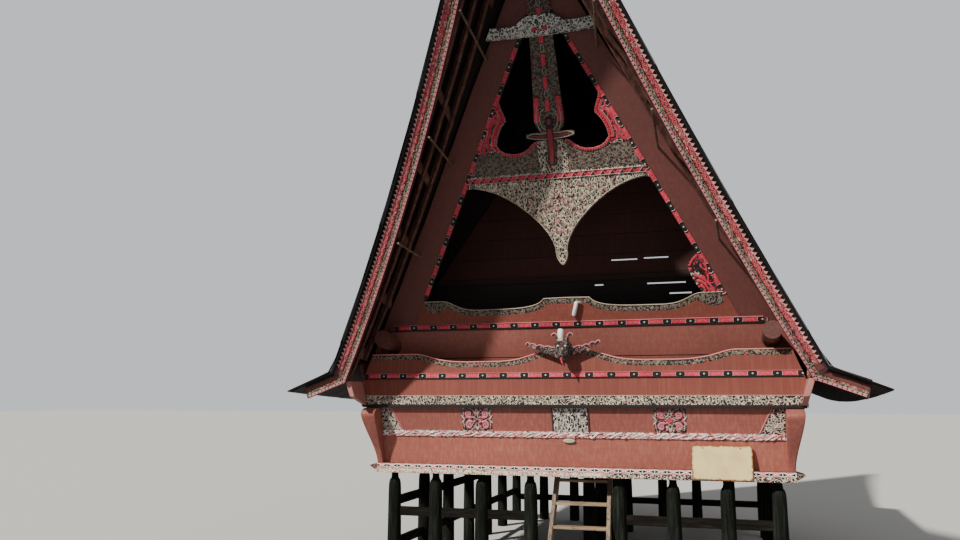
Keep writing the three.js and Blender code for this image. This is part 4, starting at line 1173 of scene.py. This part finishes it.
# Cross board: a wavy board over the upright's head, closely carved in white, red in the middle. It
# is nailed to the upright's face, so it stands out furthest.
dress(white_carving, "cross_board_front")
on_cross = leaning(*GABLE, 0.0955)
cross_top = drawn(
    (0.725, 7.565), (0.62, 7.56, 0.54, 7.53, 0.32, 7.55), (0.2, 7.65, 0.15, 7.65, 0.0, 7.645))
cross_half = [(0.11, 7.44), (0.725, 7.455)] + [p for p in cross_top if p[0] > 0.11] + [(0.11, 7.64)]
carved_field(
    "cross_curls", cross_half, (0.016, 0.012), 700, 91, on_cross, bright_white, GREY, mirror=0.0)
leaves = [tile(ring(x, 7.53, 0.04, 0.022, 10), 0.01) for x in (-0.065, 0.065)]
build("cross_red_leaves", leaves, red_paint, RED, face=on_cross)

# Beast's head: carved from one block and set before the tier board on a collar board whose long
# ends are cut as wavy horns. The face is closely carved, with pale eyes, curled ears and a tongue.
HEAD = Vector((-0.03, -4.21, 3.44))
beast_carving = carved_ground(
    "carving_on_beast_head", "#85766A", "#6E3234", 0.3, 19.0, 2.0, 0.36, ground="#1A1211")


def ball(step, size, rings=10, sides=16):
    """A round solid at a step from the head's middle, in rings from tip to tip."""
    x, y, z = HEAD + Vector(step)
    solid = []
    for i in range(rings + 1):
        polar = math.pi * i / rings
        reach, lift, cuts = math.sin(polar), math.cos(polar), sides if 0 < i < rings else 1
        outline = ring(x, y, size[0] * reach, size[1] * reach, cuts)
        solid.append([(*point, z + size[2] * lift) for point in outline])
    return solid


def round_bar(line, radii, sides=10):
    """A bar of round section along a line in space, closed at both ends."""
    path = [Vector(p) for p in line]
    rings, side = [], None
    for i, (p, radius) in enumerate(zip(path, radii)):
        ahead = (path[min(len(path) - 1, i + 1)] - path[max(0, i - 1)]).normalized()
        across = Vector((0, 0, 1) if abs(ahead.z) < 0.9 else (1, 0, 0))
        side = side or ahead.cross(across).normalized()
        side = (side - ahead * side.dot(ahead)).normalized()
        other = ahead.cross(side)
        rings.append([p + (side * a + other * b) * radius for a, b in ring(0, 0, 1, 1, sides)])
    return rings


def from_head(*steps):
    """Places at steps from the head's middle."""
    return [HEAD + Vector(step) for step in steps]


snout = from_head((0.01, -0.08, -0.1), (0.022, -0.1, -0.18), (0.038, -0.095, -0.235))
skull = [
    ball((0, 0, 0), (0.125, 0.1, 0.12)), ball((0.01, -0.06, -0.09), (0.088, 0.085, 0.105)),
    round_bar(snout, (0.055, 0.036, 0.012)),
    round_bar([(0, -4.09, 3.42), (0, -4.2, 3.43)], (0.08, 0.09)),
]
EAR = ((0.055, 0.07), (0.065, 0.125), (0.085, 0.165), (0.118, 0.178), (0.142, 0.16))
EAR_LIP = ((0.062, 0.15), (0.084, 0.184), (0.12, 0.194), (0.15, 0.173), (0.146, 0.15))
eyes, ear_lips = [], []
for side in (-1, 1):
    ear = from_head(*((side * x, -0.03, z) for x, z in EAR))
    skull += [
        ball((side * 0.062, -0.07, 0.045), (0.042, 0.036, 0.032)),
        ball((side * 0.028, -0.135, -0.13), (0.02, 0.02, 0.018), 6, 10),
        round_bar(ear, (0.03, 0.026, 0.021, 0.015, 0.009)),
    ]
    eyes.append(ball((side * 0.052, -0.098, 0.012), (0.02, 0.014, 0.015), 8, 12))
    lip = from_head(*((side * x, -0.045, z) for x, z in EAR_LIP))
    ear_lips.append(round_bar(lip, (0.007, 0.01, 0.011, 0.01, 0.006), 8))
tongue_line = from_head((0.0, -0.15, -0.15), (0.008, -0.14, -0.21), (0.03, -0.125, -0.262))
# A horn is drawn by its scalloped top edge and its underside, which carries three curls.
horns, lips = [], []
for top, under in (
    (((-0.13, 3.44), (-0.195, 3.441), (-0.235, 3.462, -0.27, 3.468, -0.3, 3.447),
      (-0.33, 3.478, -0.37, 3.488, -0.405, 3.462), (-0.43, 3.492, -0.47, 3.512, -0.498, 3.486),
      (-0.52, 3.53, -0.56, 3.52, -0.558, 3.482)),
     [(-0.535, 3.464), (-0.462, 3.43), (-0.388, 3.402), (-0.315, 3.374), (-0.215, 3.335),
      (-0.11, 3.29)]),
    (((0.07, 3.44), (0.13, 3.438), (0.16, 3.46, 0.205, 3.468, 0.24, 3.448),
      (0.26, 3.475, 0.305, 3.49, 0.33, 3.466), (0.35, 3.515, 0.4, 3.52, 0.42, 3.492),
      (0.44, 3.54, 0.485, 3.54, 0.486, 3.498)),
     [(0.455, 3.478), (0.372, 3.45), (0.308, 3.418), (0.226, 3.39), (0.13, 3.348), (0.05, 3.29)]),
):
    edge = drawn(*top, cuts=6)
    horns.append(tile(edge + under, 0.035))
    lips.append(stroke(edge, 0.011, 0.046))
    for (x, z), radius in zip(under[2:5], (0.018, 0.024, 0.03)):
        curl = volute(x, z + 0.036, radius, 0.6, 1.3, 1 if x > 0 else -1, 12)
        horns.append(stroke(curl, (0.006, 0.004), 0.043, 0.034))
on_collar = leaning(-4.17, 0, 0)
build("beast_head", skull, beast_carving, RED, "mask_head", smooth_below=50)
build("beast_collar_and_horns", horns, beast_carving, RED, face=on_collar)
build("beast_horn_lips", lips, pink_paint, RED, face=on_collar, smooth_below=50)
build("beast_ear_lips", ear_lips, pink_paint, RED, smooth_below=50)
build("beast_eyes", eyes, white_paint, GREY, smooth_below=50)
tongue = [round_bar(tongue_line, (0.014, 0.013, 0.005), 8)]
build("beast_tongue", tongue, red_paint, RED, smooth_below=50)


# Lamps: a white bulb in a pink cap on the beast's head, a white tube clipped to the sill board, and
# a pale oval fitting under the middle insert. Opal glass and moulded plastic, dusty.
def dusty_smooth(name, tone, dust, roughness):
    """Glass, moulded plastic or sheet steel under a film of dust, in patches of about 50 mm."""
    finish, tree = new_finish(name, roughness)
    place = add(tree, "ShaderNodeTexCoord").outputs["Object"]
    film = add(tree, "ShaderNodeTexNoise", (place, 18.0, 4.0))
    share = add(tree, "ShaderNodeMapRange", (film, 0.4, 0.75, 0.0, 0.5))
    colour = add(tree, "ShaderNodeMix", (share, tone, dust), data_type="RGBA")
    return finished(finish, colour, film, 0.1, 0.001)


opal = dusty_smooth("clean_opal_glass", "#FFFEFA", "#F1EDE2", 0.25)
fitting_plastic = dusty_smooth("yellowed_fitting_plastic", "#CFC4AE", "#A3957C", 0.45)
bulb = [(-0.055, -4.25, 3.565), (-0.054, -4.25, 3.6), (-0.052, -4.25, 3.67), (-0.052, -4.25, 3.69)]
tube = [
    on_gable(x, z, 0.035)
    for x, z in ((0.151, 4.097), (0.148, 4.085), (0.096, 3.925), (0.09, 3.908))
]
clip = [on_gable(0.205, 4.06), on_gable(0.19, 4.085, 0.03), on_gable(0.147, 4.095, 0.036)]
glasses = [
    round_bar(bulb, (0.034, 0.042, 0.041, 0.03), 20),
    round_bar(tube, (0.022, 0.028, 0.03, 0.02), 16),
]
caps = [
    round_bar([(-0.05, -4.24, 3.535), (-0.054, -4.25, 3.575)], (0.045, 0.037), 16),
    round_bar(clip, (0.012, 0.014, 0.014)),
]
build("lamp_glasses", glasses, opal, "parchment", smooth_below=50)
build("lamp_caps", caps, fitting_plastic, "parchment", smooth_below=50)
fitting = [tile(ring(-0.023, 2.155, 0.085, 0.028, 24), 0.028)]
build(
    "wall_fitting", fitting, fitting_plastic, "parchment", face=on_lower, worn=0.008, segments=3,
    smooth_below=50)

# Signboard: a thin board with rounded corners, painted cream with a brown border daubed along its
# edge and held by two short nails. Its face is left bare.
SIGN_MIDDLE, SIGN_HALF, SIGN_CORNER = (2.02, 1.894), (0.39, 0.226), 0.045
on_sign = leaning(-3.9008, 0, 0)
# Oil paint on a thin board, a little glossy: a brown border of uneven width, and water stains.
sign_paint, tree = new_finish("cream_sign_paint", 0.6)
place = add(tree, "ShaderNodeTexCoord").outputs["Object"]
middle = (-SIGN_MIDDLE[0], 0.0, -SIGN_MIDDLE[1])
centred = add(tree, "ShaderNodeMapping", {"Vector": place, "Location": middle})
mirrored = add(tree, "ShaderNodeVectorMath", (centred,), operation="ABSOLUTE")
sign_corner = (SIGN_HALF[0], 0.0, SIGN_HALF[1])
inset = add(tree, "ShaderNodeVectorMath", (sign_corner, mirrored), operation="SUBTRACT")
inset = add(tree, "ShaderNodeSeparateXYZ", (inset,)).outputs
edge = add(tree, "ShaderNodeMath", (inset["X"], inset["Z"], 0.05), operation="SMOOTH_MIN")
daub = add(tree, "ShaderNodeTexNoise", (place, 22.0, 4.0))
uneven = add(tree, "ShaderNodeMath", (daub, -0.05, edge), operation="MULTIPLY_ADD")
rim_share = add(tree, "ShaderNodeMapRange", (uneven, -0.018, -0.002, 1.0, 0.0))
stain = add(tree, "ShaderNodeTexNoise", (place, 4.0, 5.0))
stain_share = add(tree, "ShaderNodeMapRange", (stain, 0.45, 0.75, 0.0, 0.6))
tone = add(tree, "ShaderNodeMix", (stain_share, "#F8DE9C", "#CFA562"), data_type="RGBA")
tone = add(tree, "ShaderNodeMix", (rim_share, tone, "#94501E"), data_type="RGBA")
finished(sign_paint, tone, daub, 0.2, 0.001)
outline = []
for quarter, (sx, sz) in enumerate(((1, 1), (-1, 1), (-1, -1), (1, -1))):
    x, z = [m + s * (h - SIGN_CORNER) for m, s, h in zip(SIGN_MIDDLE, (sx, sz), SIGN_HALF)]
    outline += (ring(x, z, SIGN_CORNER, SIGN_CORNER, 24) * 2)[6 * quarter:6 * quarter + 7]
build(
    "bare_signboard", [tile(outline, 0.018)], sign_paint, "parchment", "signboard", face=on_sign,
    worn=0.004)
nail_heads = [[on_sign(x, 2.085, proud) for proud in (0.016, 0.022, 0.0235)] for x in (1.78, 2.26)]
nails = [round_bar(line, (0.009, 0.009, 0.006), 12) for line in nail_heads]
nail_steel = dusty_smooth("rusty_nail_heads", "#4A3024", "#2A1B15", 0.7)
build("sign_nails", nails, nail_steel, "dark_board")

# Eave logs: whole trunks under the eaves, stripped of bark and painted with the boards; their ends
# stand out of the gables.
log_finish = painted_boards(
    "red_painted_eave_log", "#5E322A", "#3A1E1A", "#84584A", (9, 0.8, 9), roughness=0.75)
dress(log_finish, "eave_log_left", "eave_log_right")

# Brackets: a slanting plank under each kink of the roof, from the carved beam's end to the barge
# board, painted with the boards.
bracket_finish = painted_boards("red_painted_bracket", "#B4746A", "#8A5550", "#CC968A")
CORNERS = [
    ("%s_%s" % (end, word), facing, side)
    for end, facing in (("front", 1), ("rear", -1)) for side, word in SIDES
]
for name, facing, side in CORNERS:
    bracket = six_sided([
        (side * (x + spread), facing * y, z)
        for x in (3.03, 3.106)
        for y, low in ((-4.5197, 2.76), (-4.0803, 2.64))
        for z, spread in ((low, 0.0), (2.985, 0.078))
    ])
    build(
        "bracket_plank_" + name, [bracket], bracket_finish, "red_board", "eave_bracket_" + name,
        worn=0.01)

# Corner planks: thick planks hewn to the shape of a paddle, wide and rounded at the head, narrow at
# the foot, that close each corner of the wall.
PADDLE_FOOT, PADDLE_HEAD, PADDLE_STEPS = 1.7903, 2.6, 26
SHOULDER, PADDLE_ROUND = 0.86, 0.02
arc = ring(0, 0, PADDLE_ROUND, PADDLE_ROUND, 24)
for name, facing, side in CORNERS:
    rings = []
    for w in [i / PADDLE_STEPS for i in range(PADDLE_STEPS + 1)]:
        z = PADDLE_FOOT + (PADDLE_HEAD - PADDLE_FOOT) * w
        swell = w * w * (3 - 2 * w)
        narrowed = math.sqrt(1 - 0.8 * (max(0.0, w - SHOULDER) / (1 - SHOULDER)) ** 2)
        middle, back = 2.89 + 0.06 * swell, on_lower(0, z)[1] - 0.0003
        half = (0.045 + 0.073 * swell) * (0.8 + 0.2 * narrowed)
        deep = (0.095 + 0.175 * swell) * narrowed
        x_in, y_in = half - PADDLE_ROUND, deep - PADDLE_ROUND
        section = [(-half, 0.0), (half, 0.0)] + [(x_in + x, y_in + y) for x, y in arc[:7]]
        section += [(x - x_in, y_in + y) for x, y in arc[6:13]]
        rings.append([(side * (middle + x), facing * (back - y), z) for x, y in section])
    build("paddle_plank_" + name, [rings], plain_boards, "red_board", "corner_plank_" + name)

# Side walls: leaning boards held by slanting battens of paler timber over every post. The battens
# are newer wood, left unpainted.
batten_finish = aged_timber(
    "pale_wall_batten", "#5E4A3A", "#8D7458", "#B39A78", (14, 14, 1.2), 0.75, 0.002)
for side, word in SIDES:
    battens = [
        six_sided([
            (side * (2.8805 + 0.2368 * (z - 1.79) + dx), POST_PITCH * i + dy + 0.12 * (z - 1.8), z)
            for z in (1.8, 3.02) for dx in (0.0, 0.026) for dy in (-0.035, 0.035)
        ])
        for i in range(-3, 4)
    ]
    build("wall_battens_" + word, battens, batten_finish, "pale_wood", worn=0.004)

# Overhang: rafters and battens of dark sawn timber between barge boards and gable, left unpainted.
# They carry the ends of the roof sheets and are seen from below.
frame_finish = aged_timber("dark_rafter_timber", "#2C1814", "#663D33", "#8C6353", (7, 7, 3), 0.8)
dress(frame_finish, "overhang_frame_front", "overhang_frame_rear")

# Barge boards: broad boards that follow the roof's edge, carved in rows of faded red and grey-green
# scrolls, with a saw-toothed outer row. Below the kink they turn out along the kicked eave.
# Parabolas over the height above CURVE_FOOT: how far out from the middle the boards' two edges are,
# and how far they reach forward.
OUTER_EDGE, INNER_EDGE = (3.355, -0.5485, 0.0056), (3.195, -0.5649, 0.0108)
REACH = (0.764, 0.3127, 0.0237)
CURVE_FOOT = 2.9
KICK_X, KICK_Z, KICK_SLOPE, KICK_Y = 3.16, 2.962, 0.789, -4.57


def curve(terms, z):
    """A measure of the roof's edge at a height, as a parabola over the height above its foot."""
    t = z - CURVE_FOOT
    return terms[0] + terms[1] * t + terms[2] * t * t


def barge_y(z):
    """Where the boards' face is, front to back, at a height."""
    return -3.8 - curve(REACH, z)


def on_barge(x, z, proud=0.0):
    """The face of the barge boards, which stands upright below the kink."""
    if abs(x) > KICK_X and z < KICK_Z + KICK_SLOPE * (abs(x) - KICK_X):
        return x, KICK_Y - proud, z
    lean = REACH[1] + 2 * REACH[2] * (z - CURVE_FOOT)
    return tuple(Vector((x, barge_y(z), z)) + Vector((0, -1, -lean)).normalized() * proud)


def inner_point(z):
    """The point at a height on the boards' inner edge."""
    return curve(INNER_EDGE, z), z


def vine(pitch, tall, thick=0.0042, high=0.008):
    """One length of running scroll: a waving stem with a volute in each bay and leaves between."""
    swing = 0.37 * tall
    stem = [(pitch * (i / 12 - 0.5), -swing * math.sin(TURN * i / 12)) for i in range(13)]
    shape = [stroke(stem, thick, high)]
    radius = min(0.31 * tall, 0.235 * pitch)
    for bay, sign in ((-0.25, 1), (0.25, -1)):
        start = -sign * math.pi / 2
        curl = volute(bay * pitch, sign * (radius - swing), radius, start, 1.3, sign, 11)
        shape.append(stroke(curl, (thick, 0.6 * thick), high))
        for x, y, dx, dy, wide in (
            (-0.2, 0.2, 0.1, 0.2, 0.9), (0.13, 0.42, 0.12, -0.05, 0.9),
            (0.02, 0.44, -0.1, -0.04, 0.8),
        ):
            x, y, dx, dy = (bay + x) * pitch, sign * y * tall, dx * pitch, sign * dy * tall
            shape.append(leaf(x, y, dx, dy, wide * thick, high))
    return shape


# Near black and dull, with dust in patches of about 100 mm: painted shade along the roof's edge.
painted_shade_black, tree = new_finish("tarred_verge_board", 0.85, 1.35)
place = add(tree, "ShaderNodeTexCoord").outputs["Object"]
dust = add(tree, "ShaderNodeTexNoise", (place, 9.0, 6.0, 0.7))
tone = add(tree, "ShaderNodeMix", (dust, "#060607", "#151315"), data_type="RGBA")
finished(painted_shade_black, tone, dust, 0.4, 0.003)
dress(brown_ground, "barge_boards_front")
mottled = carved_ground(
    "carving_olive_and_cream_row", "#C0A878", "#D2404A", 0.45, 16.0, 2.2, 0.5, ground="#2C1412")
pink_scrolled = carved_ground(
    "carving_pink_row", "#E85058", "#F4C0B0", 0.2, 15.0, 2.2, 0.66, ground="#5A1418")
tooth_paint = carved_paint("pale_pink_on_teeth", "#F2B0A8", "#E07F80", "#9C5A55", 0.5)
above = [inner_point(9.3 - 0.32 * i) for i in range(20)]
kick = [(3.156, 2.967), (3.3, 2.912), (3.45, 2.855), (3.6, 2.798), (3.735, 2.747)]
whole, above_kink = above + kick, above + [inner_point(3.09)]
kink = [inner_point(3.13), inner_point(3.02)]
scallop_edge = [
    (-0.026, -0.013), (0.026, -0.013), (0.022, 0.004), (0.01, 0.014), (-0.01, 0.014),
    (-0.022, 0.004),
]
cut_line = [(-0.017, 0.001), (-0.008, 0.008), (0.008, 0.008), (0.017, 0.001)]
tooth_edge = [
    (-0.031, -0.018), (0.029, -0.018), (0.026, -0.004), (0.012, 0.024), (0.001, 0.004),
    (-0.012, -0.008),
]
scallop, tooth = [tile(scallop_edge, 0.013)], [tile(tooth_edge, 0.012)]
scallop_cut = [stroke(cut_line, 0.003, 0.0155, 0.01)]
for side, word in SIDES:
    for name, line, off, half, proud, finish in (
        ("mottled_row", whole, 0.058, 0.024, 0.005, mottled),
        ("kick_plain", kick, 0.12, 0.036, 0.005, gable_boards),
        ("kink_plain", kink, 0.13, 0.045, 0.005, gable_boards),
        ("pink_row", above_kink, 0.12, 0.035, 0.005, pink_scrolled),
        ("tooth_ground", above_kink, 0.178, 0.022, 0.005, black_paint),
        # The kick's dark strip takes the same near black: painted shade under the eave.
        ("kick_dark", kick, 0.19, 0.035, 0.005, painted_shade_black),
        ("rim_inner", whole, 0.033, 0.003, 0.01, white_paint),
        ("rim_middle", above_kink, 0.084, 0.003, 0.01, black_paint),
        ("rim_outer", above_kink, 0.157, 0.003, 0.01, red_paint),
    ):
        line = flip(shifted(line, off), side)
        strip("barge_%s_%s" % (name, word), line, half, on_barge, finish, RED, proud)
    for name, line, off, proud, shape, pitch, finish, slot in (
        ("cream_scrolls", whole, 0.058, 0.005, vine(0.2, 0.044), 0.2, dim_paint, GREY),
        ("pink_scrolls", above_kink, 0.122, 0.005, vine(0.12, 0.055), 0.12, pink_paint, RED),
        ("scallops", whole, 0.016, 0.001, scallop, 0.058, pink_paint, RED),
        ("scallop_cuts", whole, 0.016, 0.001, scallop_cut, 0.058, white_paint, RED),
        ("teeth", above_kink, 0.174, 0.006, tooth, 0.066, tooth_paint, RED),
    ):
        line = on_side(shifted(line, off), side)
        repeat("barge_%s_%s" % (name, word), line, on_barge, proud, shape, pitch, finish, slot)

# Verge boards: thin boards painted near black, as the shade along the roof's edge, that close the
# ends of the roof sheets above the barge boards, down to the tips of the eaves. A narrow edge of
# the sheets shows bright on top of them.
sheet_edge = dusty_smooth("bright_sheet_edge", "#8B8A88", "#5E544E", 0.5)
heights = [9.5 - 0.3 * i for i in range(22)]
verge_outer, verge_inner = [
    [(curve(OUTER_EDGE, z) + off, z) for z in heights] + eave
    for off, eave in (
        (0.104, [(3.33, 3.137), (3.68, 2.988), (4.0, 2.851)]),
        (0.06, [(3.312, 3.098), (3.672, 2.963), (3.988, 2.824)]),
    )
]
sheet_top, sheet_foot = shifted(verge_outer, 0.002), shifted(verge_outer, -0.007)
for corner_name, facing, side in CORNERS:
    for name, outer, inner, near, far, finish in (
        ("verge_board_", verge_outer, verge_inner, 0.054, 0.014, painted_shade_black),
        ("verge_edge_", sheet_top, sheet_foot, 0.057, 0.03, sheet_edge),
    ):
        rings = [
            [(side * x, facing * (min(barge_y(max(z, 2.98)), KICK_Y) - reach), z)
             for (x, z), reach in ((high, near), (high, far), (low, far), (low, near))]
            for high, low in zip(outer, inner)
        ]
        build(name + corner_name, [rings], finish, "roof_sheet")

# Rods: thin poles that hold the barge boards off the gable, three on each side, cut from peeled
# saplings and left bare.
rod_finish = aged_timber("pole_timber", "#4A3A31", "#7D6350", "#A48C74", (6, 6, 6), 0.8, 0.002)
sweep, given = new_tree("sweep", "Radius", "Finish")
line = add(sweep, "GeometryNodeMeshToCurve", (given["Geometry"],))
fed = {"Resolution": 8, "Radius": given["Radius"]}
profile = add(sweep, "GeometryNodeCurvePrimitiveCircle", fed)
fed = {"Curve": line, "Profile Curve": profile, "Fill Caps": True}
close_tree(sweep, add(sweep, "GeometryNodeCurveToMesh", fed), given)
# One rod to a line, from the barge board to the gable.
ROD_ENDS = (
    (-0.808, -6.479, 7.452), (-0.779, -5.395, 7.218),
    (-1.446, -5.808, 6.101), (-1.435, -4.859, 5.972),
    (-2.086, -5.256, 4.831), (-2.111, -4.35, 4.789),
    (0.835, -6.433, 7.365), (0.709, -5.403, 7.238),
    (1.415, -5.841, 6.173), (1.4, -4.868, 5.993),
    (2.092, -5.279, 4.886), (2.112, -4.364, 4.82),
)
rod_mesh = bpy.data.meshes.new("gable_rods")
rod_mesh.from_pydata(ROD_ENDS, [(i, i + 1) for i in range(0, len(ROD_ENDS), 2)], [])
rods = put("gable_rods", rod_mesh)
grow(rods, sweep, radius=0.016, finish=rod_finish)
rods.data.shade_smooth()
settle(rods, "pale_wood")

# Roof: corrugated steel sheets in lapped courses on round battens, painted dark red and rusting,
# with a bent ridge cap. The sheets run from the kicked eave to the climbing ridge.
ROOF_ROWS, ROOF_COLUMNS = 7, 14
ROOF_FOOT, ROOF_TOP, EAVE_OUT, EAVE_DROP = 3.145, 9.71, 0.69, 0.295
EAVE_SAG, RIDGE_SAG = 0.15, 2.3


def roof_corner(row, column):
    """A corner of the CAD slope's facets, in rows up from the eave and columns from end to end."""
    s, q = max(0, row - 1) / (ROOF_ROWS - 1), 2 * column / ROOF_COLUMNS - 1
    z = ROOF_FOOT + (ROOF_TOP - ROOF_FOOT) * s
    x, y = curve(OUTER_EDGE, z) + 0.11 if row < ROOF_ROWS else 0.0, -q * (3.86 + curve(REACH, z))
    z -= (EAVE_SAG + (RIDGE_SAG - EAVE_SAG) * s) * (1 - q * q)
    return Vector((x, y, z) if row else (x + EAVE_OUT, y, z - EAVE_DROP))


def roof_at(u, v):
    """A place on the slope, on flat facets as in CAD, at a share of its way up and along."""
    u, v = u * ROOF_ROWS, v * ROOF_COLUMNS
    row, column = min(ROOF_ROWS - 1, int(u + 1e-6)), min(ROOF_COLUMNS - 1, int(v + 1e-6))
    near, far = [
        roof_corner(row, c).lerp(roof_corner(row + 1, c), u - row) for c in (column, column + 1)
    ]
    return near.lerp(far, v - column)


# Corrugated steel under old paint: faintly glossy where it is whole, dull where it rusts. Each
# sheet has its own tone, and its underside, where the shade value is negative, is painted near
# black as shade. Rust runs down the slope in streaks 50 mm wide.
roof_finish, tree = new_finish("rusting_painted_sheet", 0.5, 1.3)
place = add(tree, "ShaderNodeUVMap", uv_map="sheet")
shade = add(tree, "ShaderNodeAttribute", attribute_name="shade").outputs["Fac"]
runs = add(tree, "ShaderNodeMapping", {"Vector": place, "Scale": (9.0, 0.5, 1.0)})
rust = add(tree, "ShaderNodeTexNoise", (runs, 2.4, 7.0, 0.65))
spots = add(tree, "ShaderNodeTexNoise", (place, 26.0, 3.0))
wide = add(tree, "ShaderNodeTexNoise", (place, 0.35, 3.0))
own = add(tree, "ShaderNodeMix", (shade, "#432322", "#5A2B28"), data_type="RGBA")
rusty = add(tree, "ShaderNodeMapRange", (rust, 0.5, 0.68, 0.0, 0.75))
patchy = add(tree, "ShaderNodeMapRange", (wide, 0.35, 0.65, 0.25, 1.0))
rust_share = add(tree, "ShaderNodeMath", (rusty, patchy), operation="MULTIPLY")
rust_tone = add(tree, "ShaderNodeMix", (spots, "#5A2A1C", "#8A4A30"), data_type="RGBA")
tone = add(tree, "ShaderNodeMix", (rust_share, own, rust_tone), data_type="RGBA")
painted_shade_beneath = add(tree, "ShaderNodeMath", (shade, -0.5), operation="LESS_THAN")
tone = add(tree, "ShaderNodeMix", (painted_shade_beneath, tone, "#150D0C"), data_type="RGBA")
rough = add(tree, "ShaderNodeMapRange", (rust_share, 0.0, 1.0, 0.62, 0.9))
feed(main_input(roof_finish, "Roughness"), rough)
finished(roof_finish, tone, spots, 0.25, 0.002)

COURSES, COURSE_ROWS, LAP, LAP_LIFT, SHEET_DROP = 5, 7, 0.008, 0.014, 0.034
WAVES, WAVE_CUTS, WAVE_DEEP, SHEET_THICK, SHEET_WAVES = 170, 5, 0.011, 0.004, 10
COLUMNS = WAVES * WAVE_CUTS
# Each ring runs up the top of a sheet and back down its underside.
UPHILL = range(COURSE_ROWS)
TOP_AND_UNDER = [(0, row) for row in UPHILL] + [(1, row) for row in reversed(UPHILL)]
roof_chance = random.Random(17)
for side, word in SIDES:
    sheets = range(WAVES // SHEET_WAVES + 2)
    lifts = [[roof_chance.uniform(0.0, 0.006) for _ in sheets] for _ in range(COURSES)]
    shades = [[roof_chance.random() for _ in sheets] for _ in range(COURSES)]
    courses, uvs, shade_list = [[] for _ in range(COURSES)], [], []
    for course, rings in enumerate(courses):
        foot = course / COURSES - (LAP if course else 0.0)
        for column in range(COLUMNS + 1):
            sheet = (column // WAVE_CUTS + 4 * course) // SHEET_WAVES
            wave = 0.5 * (1 + math.cos(TURN * column / WAVE_CUTS))
            rings.append([])
            for layer, row in TOP_AND_UNDER:
                up = row / (COURSE_ROWS - 1)
                u = foot + ((course + 1) / COURSES - foot) * up
                base = roof_at(min(u, 1.0), column / COLUMNS)
                lap = (LAP_LIFT + lifts[course][sheet]) * (1 - up)
                under = max(SHEET_DROP - WAVE_DEEP * wave - lap + layer * SHEET_THICK, 0.001)
                rings[-1].append((side * max(base.x, 0.002), base.y * 0.9995, base.z - under))
                uvs.append((base.y, 8.0 * u))
                # The underside takes -1, which the finish paints near black as shade.
                shade_list.append(-1.0 if layer else shades[course][sheet])
    slope = make("roof_sheets_" + word, courses, roof_finish, 30, True)
    store(slope.data, shade=shade_list)
    uv_map = slope.data.uv_layers.new(name="sheet")
    for loop in slope.data.loops:
        uv_map.data[loop.index].uv = uvs[loop.vertex_index]
    settle(slope, "roof_sheet", "roof_" + word)
dress(roof_finish, "ridge_cap")

# Rear gable: it repeats the front's stripes, crests and barge rows, cut by the same pattern boards.
# The panel and the beast's head belong to the front alone.
REPEATED = (
    "tier_stripe", "tier_crest", "upper_stripe", "sill_crest", "barge_", "gable_rods", "ledge_",
    "border_",
)
made_here = [piece for piece in scene.objects if piece.type == "MESH" and piece.name not in nodes]
for piece in [piece for piece in made_here if piece.name.startswith(REPEATED)]:
    mesh = piece.data.copy()
    mesh.transform(Matrix.Diagonal((-1, -1, 1, 1)))
    mesh.name = "rear_" + piece.name
    settle(put(mesh.name, mesh), "pale_wood" if "rods" in piece.name else RED)
